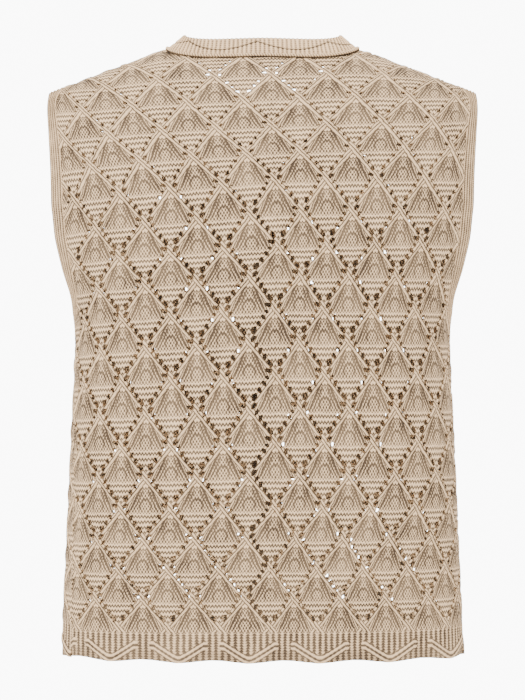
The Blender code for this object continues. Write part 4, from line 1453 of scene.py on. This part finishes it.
class CARDIGAN_OT_stage(bpy.types.Operator):
    """Set up the floor, the soft light and the camera"""

    bl_idname = "cardigan.stage"
    bl_label = "Stage"

    def execute(self, context):
        scene = context.scene
        looks = looks_of(context)
        world = bpy.data.worlds.new("studio")
        world.use_nodes = True
        nodes, links = world.node_tree.nodes, world.node_tree.links
        background = nodes["Background"]
        background.inputs["Color"].default_value = (1.0, 1.0, 1.0, 1.0)
        ray = nodes.new("ShaderNodeLightPath")
        strength = nodes.new("ShaderNodeMapRange")
        strength.inputs["To Min"].default_value = looks.soft_light
        strength.inputs["To Max"].default_value = BACKDROP_STRENGTH
        links.new(ray.outputs["Is Camera Ray"], strength.inputs["Value"])
        links.new(strength.outputs["Result"], background.inputs["Strength"])
        scene.world = world
        bm = bmesh.new()
        bmesh.ops.create_circle(bm, cap_ends=True, segments=FLOOR_SEGMENTS, radius=FLOOR_RADIUS)
        bmesh.ops.translate(bm, verts=bm.verts, vec=(0, 0, FLOOR_LEVEL))
        mesh = mesh_of("floor", bm)
        paint = bpy.data.materials.new("floor_paint")
        paint.use_nodes = True
        paint.node_tree.nodes["Principled BSDF"].inputs["Base Color"].default_value = FLOOR_COLOUR
        mesh.materials.append(paint)
        linked("floor", mesh)
        light = bpy.data.lights.new("key", "AREA")
        light.energy = looks.key_power
        light.size = KEY_SIZE
        lamp = linked("key", light)
        lamp.location = KEY_PLACE
        aim = Vector((0.0, 0.0, CAMERA_PLACE[2])) - lamp.location
        lamp.rotation_euler = aim.to_track_quat("-Z", "Y").to_euler()
        lens = bpy.data.cameras.new("camera")
        lens.sensor_fit = "VERTICAL"
        lens.sensor_height = SENSOR_HEIGHT
        lens.lens = CAMERA_LENS
        camera = linked("camera", lens)
        camera.location = CAMERA_PLACE
        camera.rotation_euler = (math.pi / 2, 0.0, 0.0)
        scene.camera = camera
        return {"FINISHED"}


class CARDIGAN_PT_panel(bpy.types.Panel):
    """Lists the pieces of the cardigan"""

    bl_label = "Lace Cardigan"
    bl_idname = "CARDIGAN_PT_panel"
    bl_space_type = "VIEW_3D"
    bl_region_type = "UI"
    bl_category = "Cardigan"

    def draw(self, context):
        looks = looks_of(context)
        for name in CardiganLooks.__annotations__:
            self.layout.prop(looks, name)
        for piece in OPERATORS:
            self.layout.operator(piece.bl_idname)


OPERATORS = (
    CARDIGAN_OT_lace, CARDIGAN_OT_neckband, CARDIGAN_OT_armbands, CARDIGAN_OT_button_bands,
    CARDIGAN_OT_buttons, CARDIGAN_OT_stage,
)
CLASSES = (CardiganLooks, *OPERATORS, CARDIGAN_PT_panel)


def register():
    for cls in CLASSES:
        bpy.utils.register_class(cls)
    bpy.types.Scene.cardigan_looks = PointerProperty(type=CardiganLooks)


def unregister():
    del bpy.types.Scene.cardigan_looks
    for cls in reversed(CLASSES):
        bpy.utils.unregister_class(cls)


def main():
    register()
    bpy.ops.cardigan.lace()
    bpy.ops.cardigan.neckband()
    bpy.ops.cardigan.armbands()
    bpy.ops.cardigan.button_bands()
    bpy.ops.cardigan.buttons()
    bpy.ops.cardigan.stage()


if __name__ == "__main__":
    main()
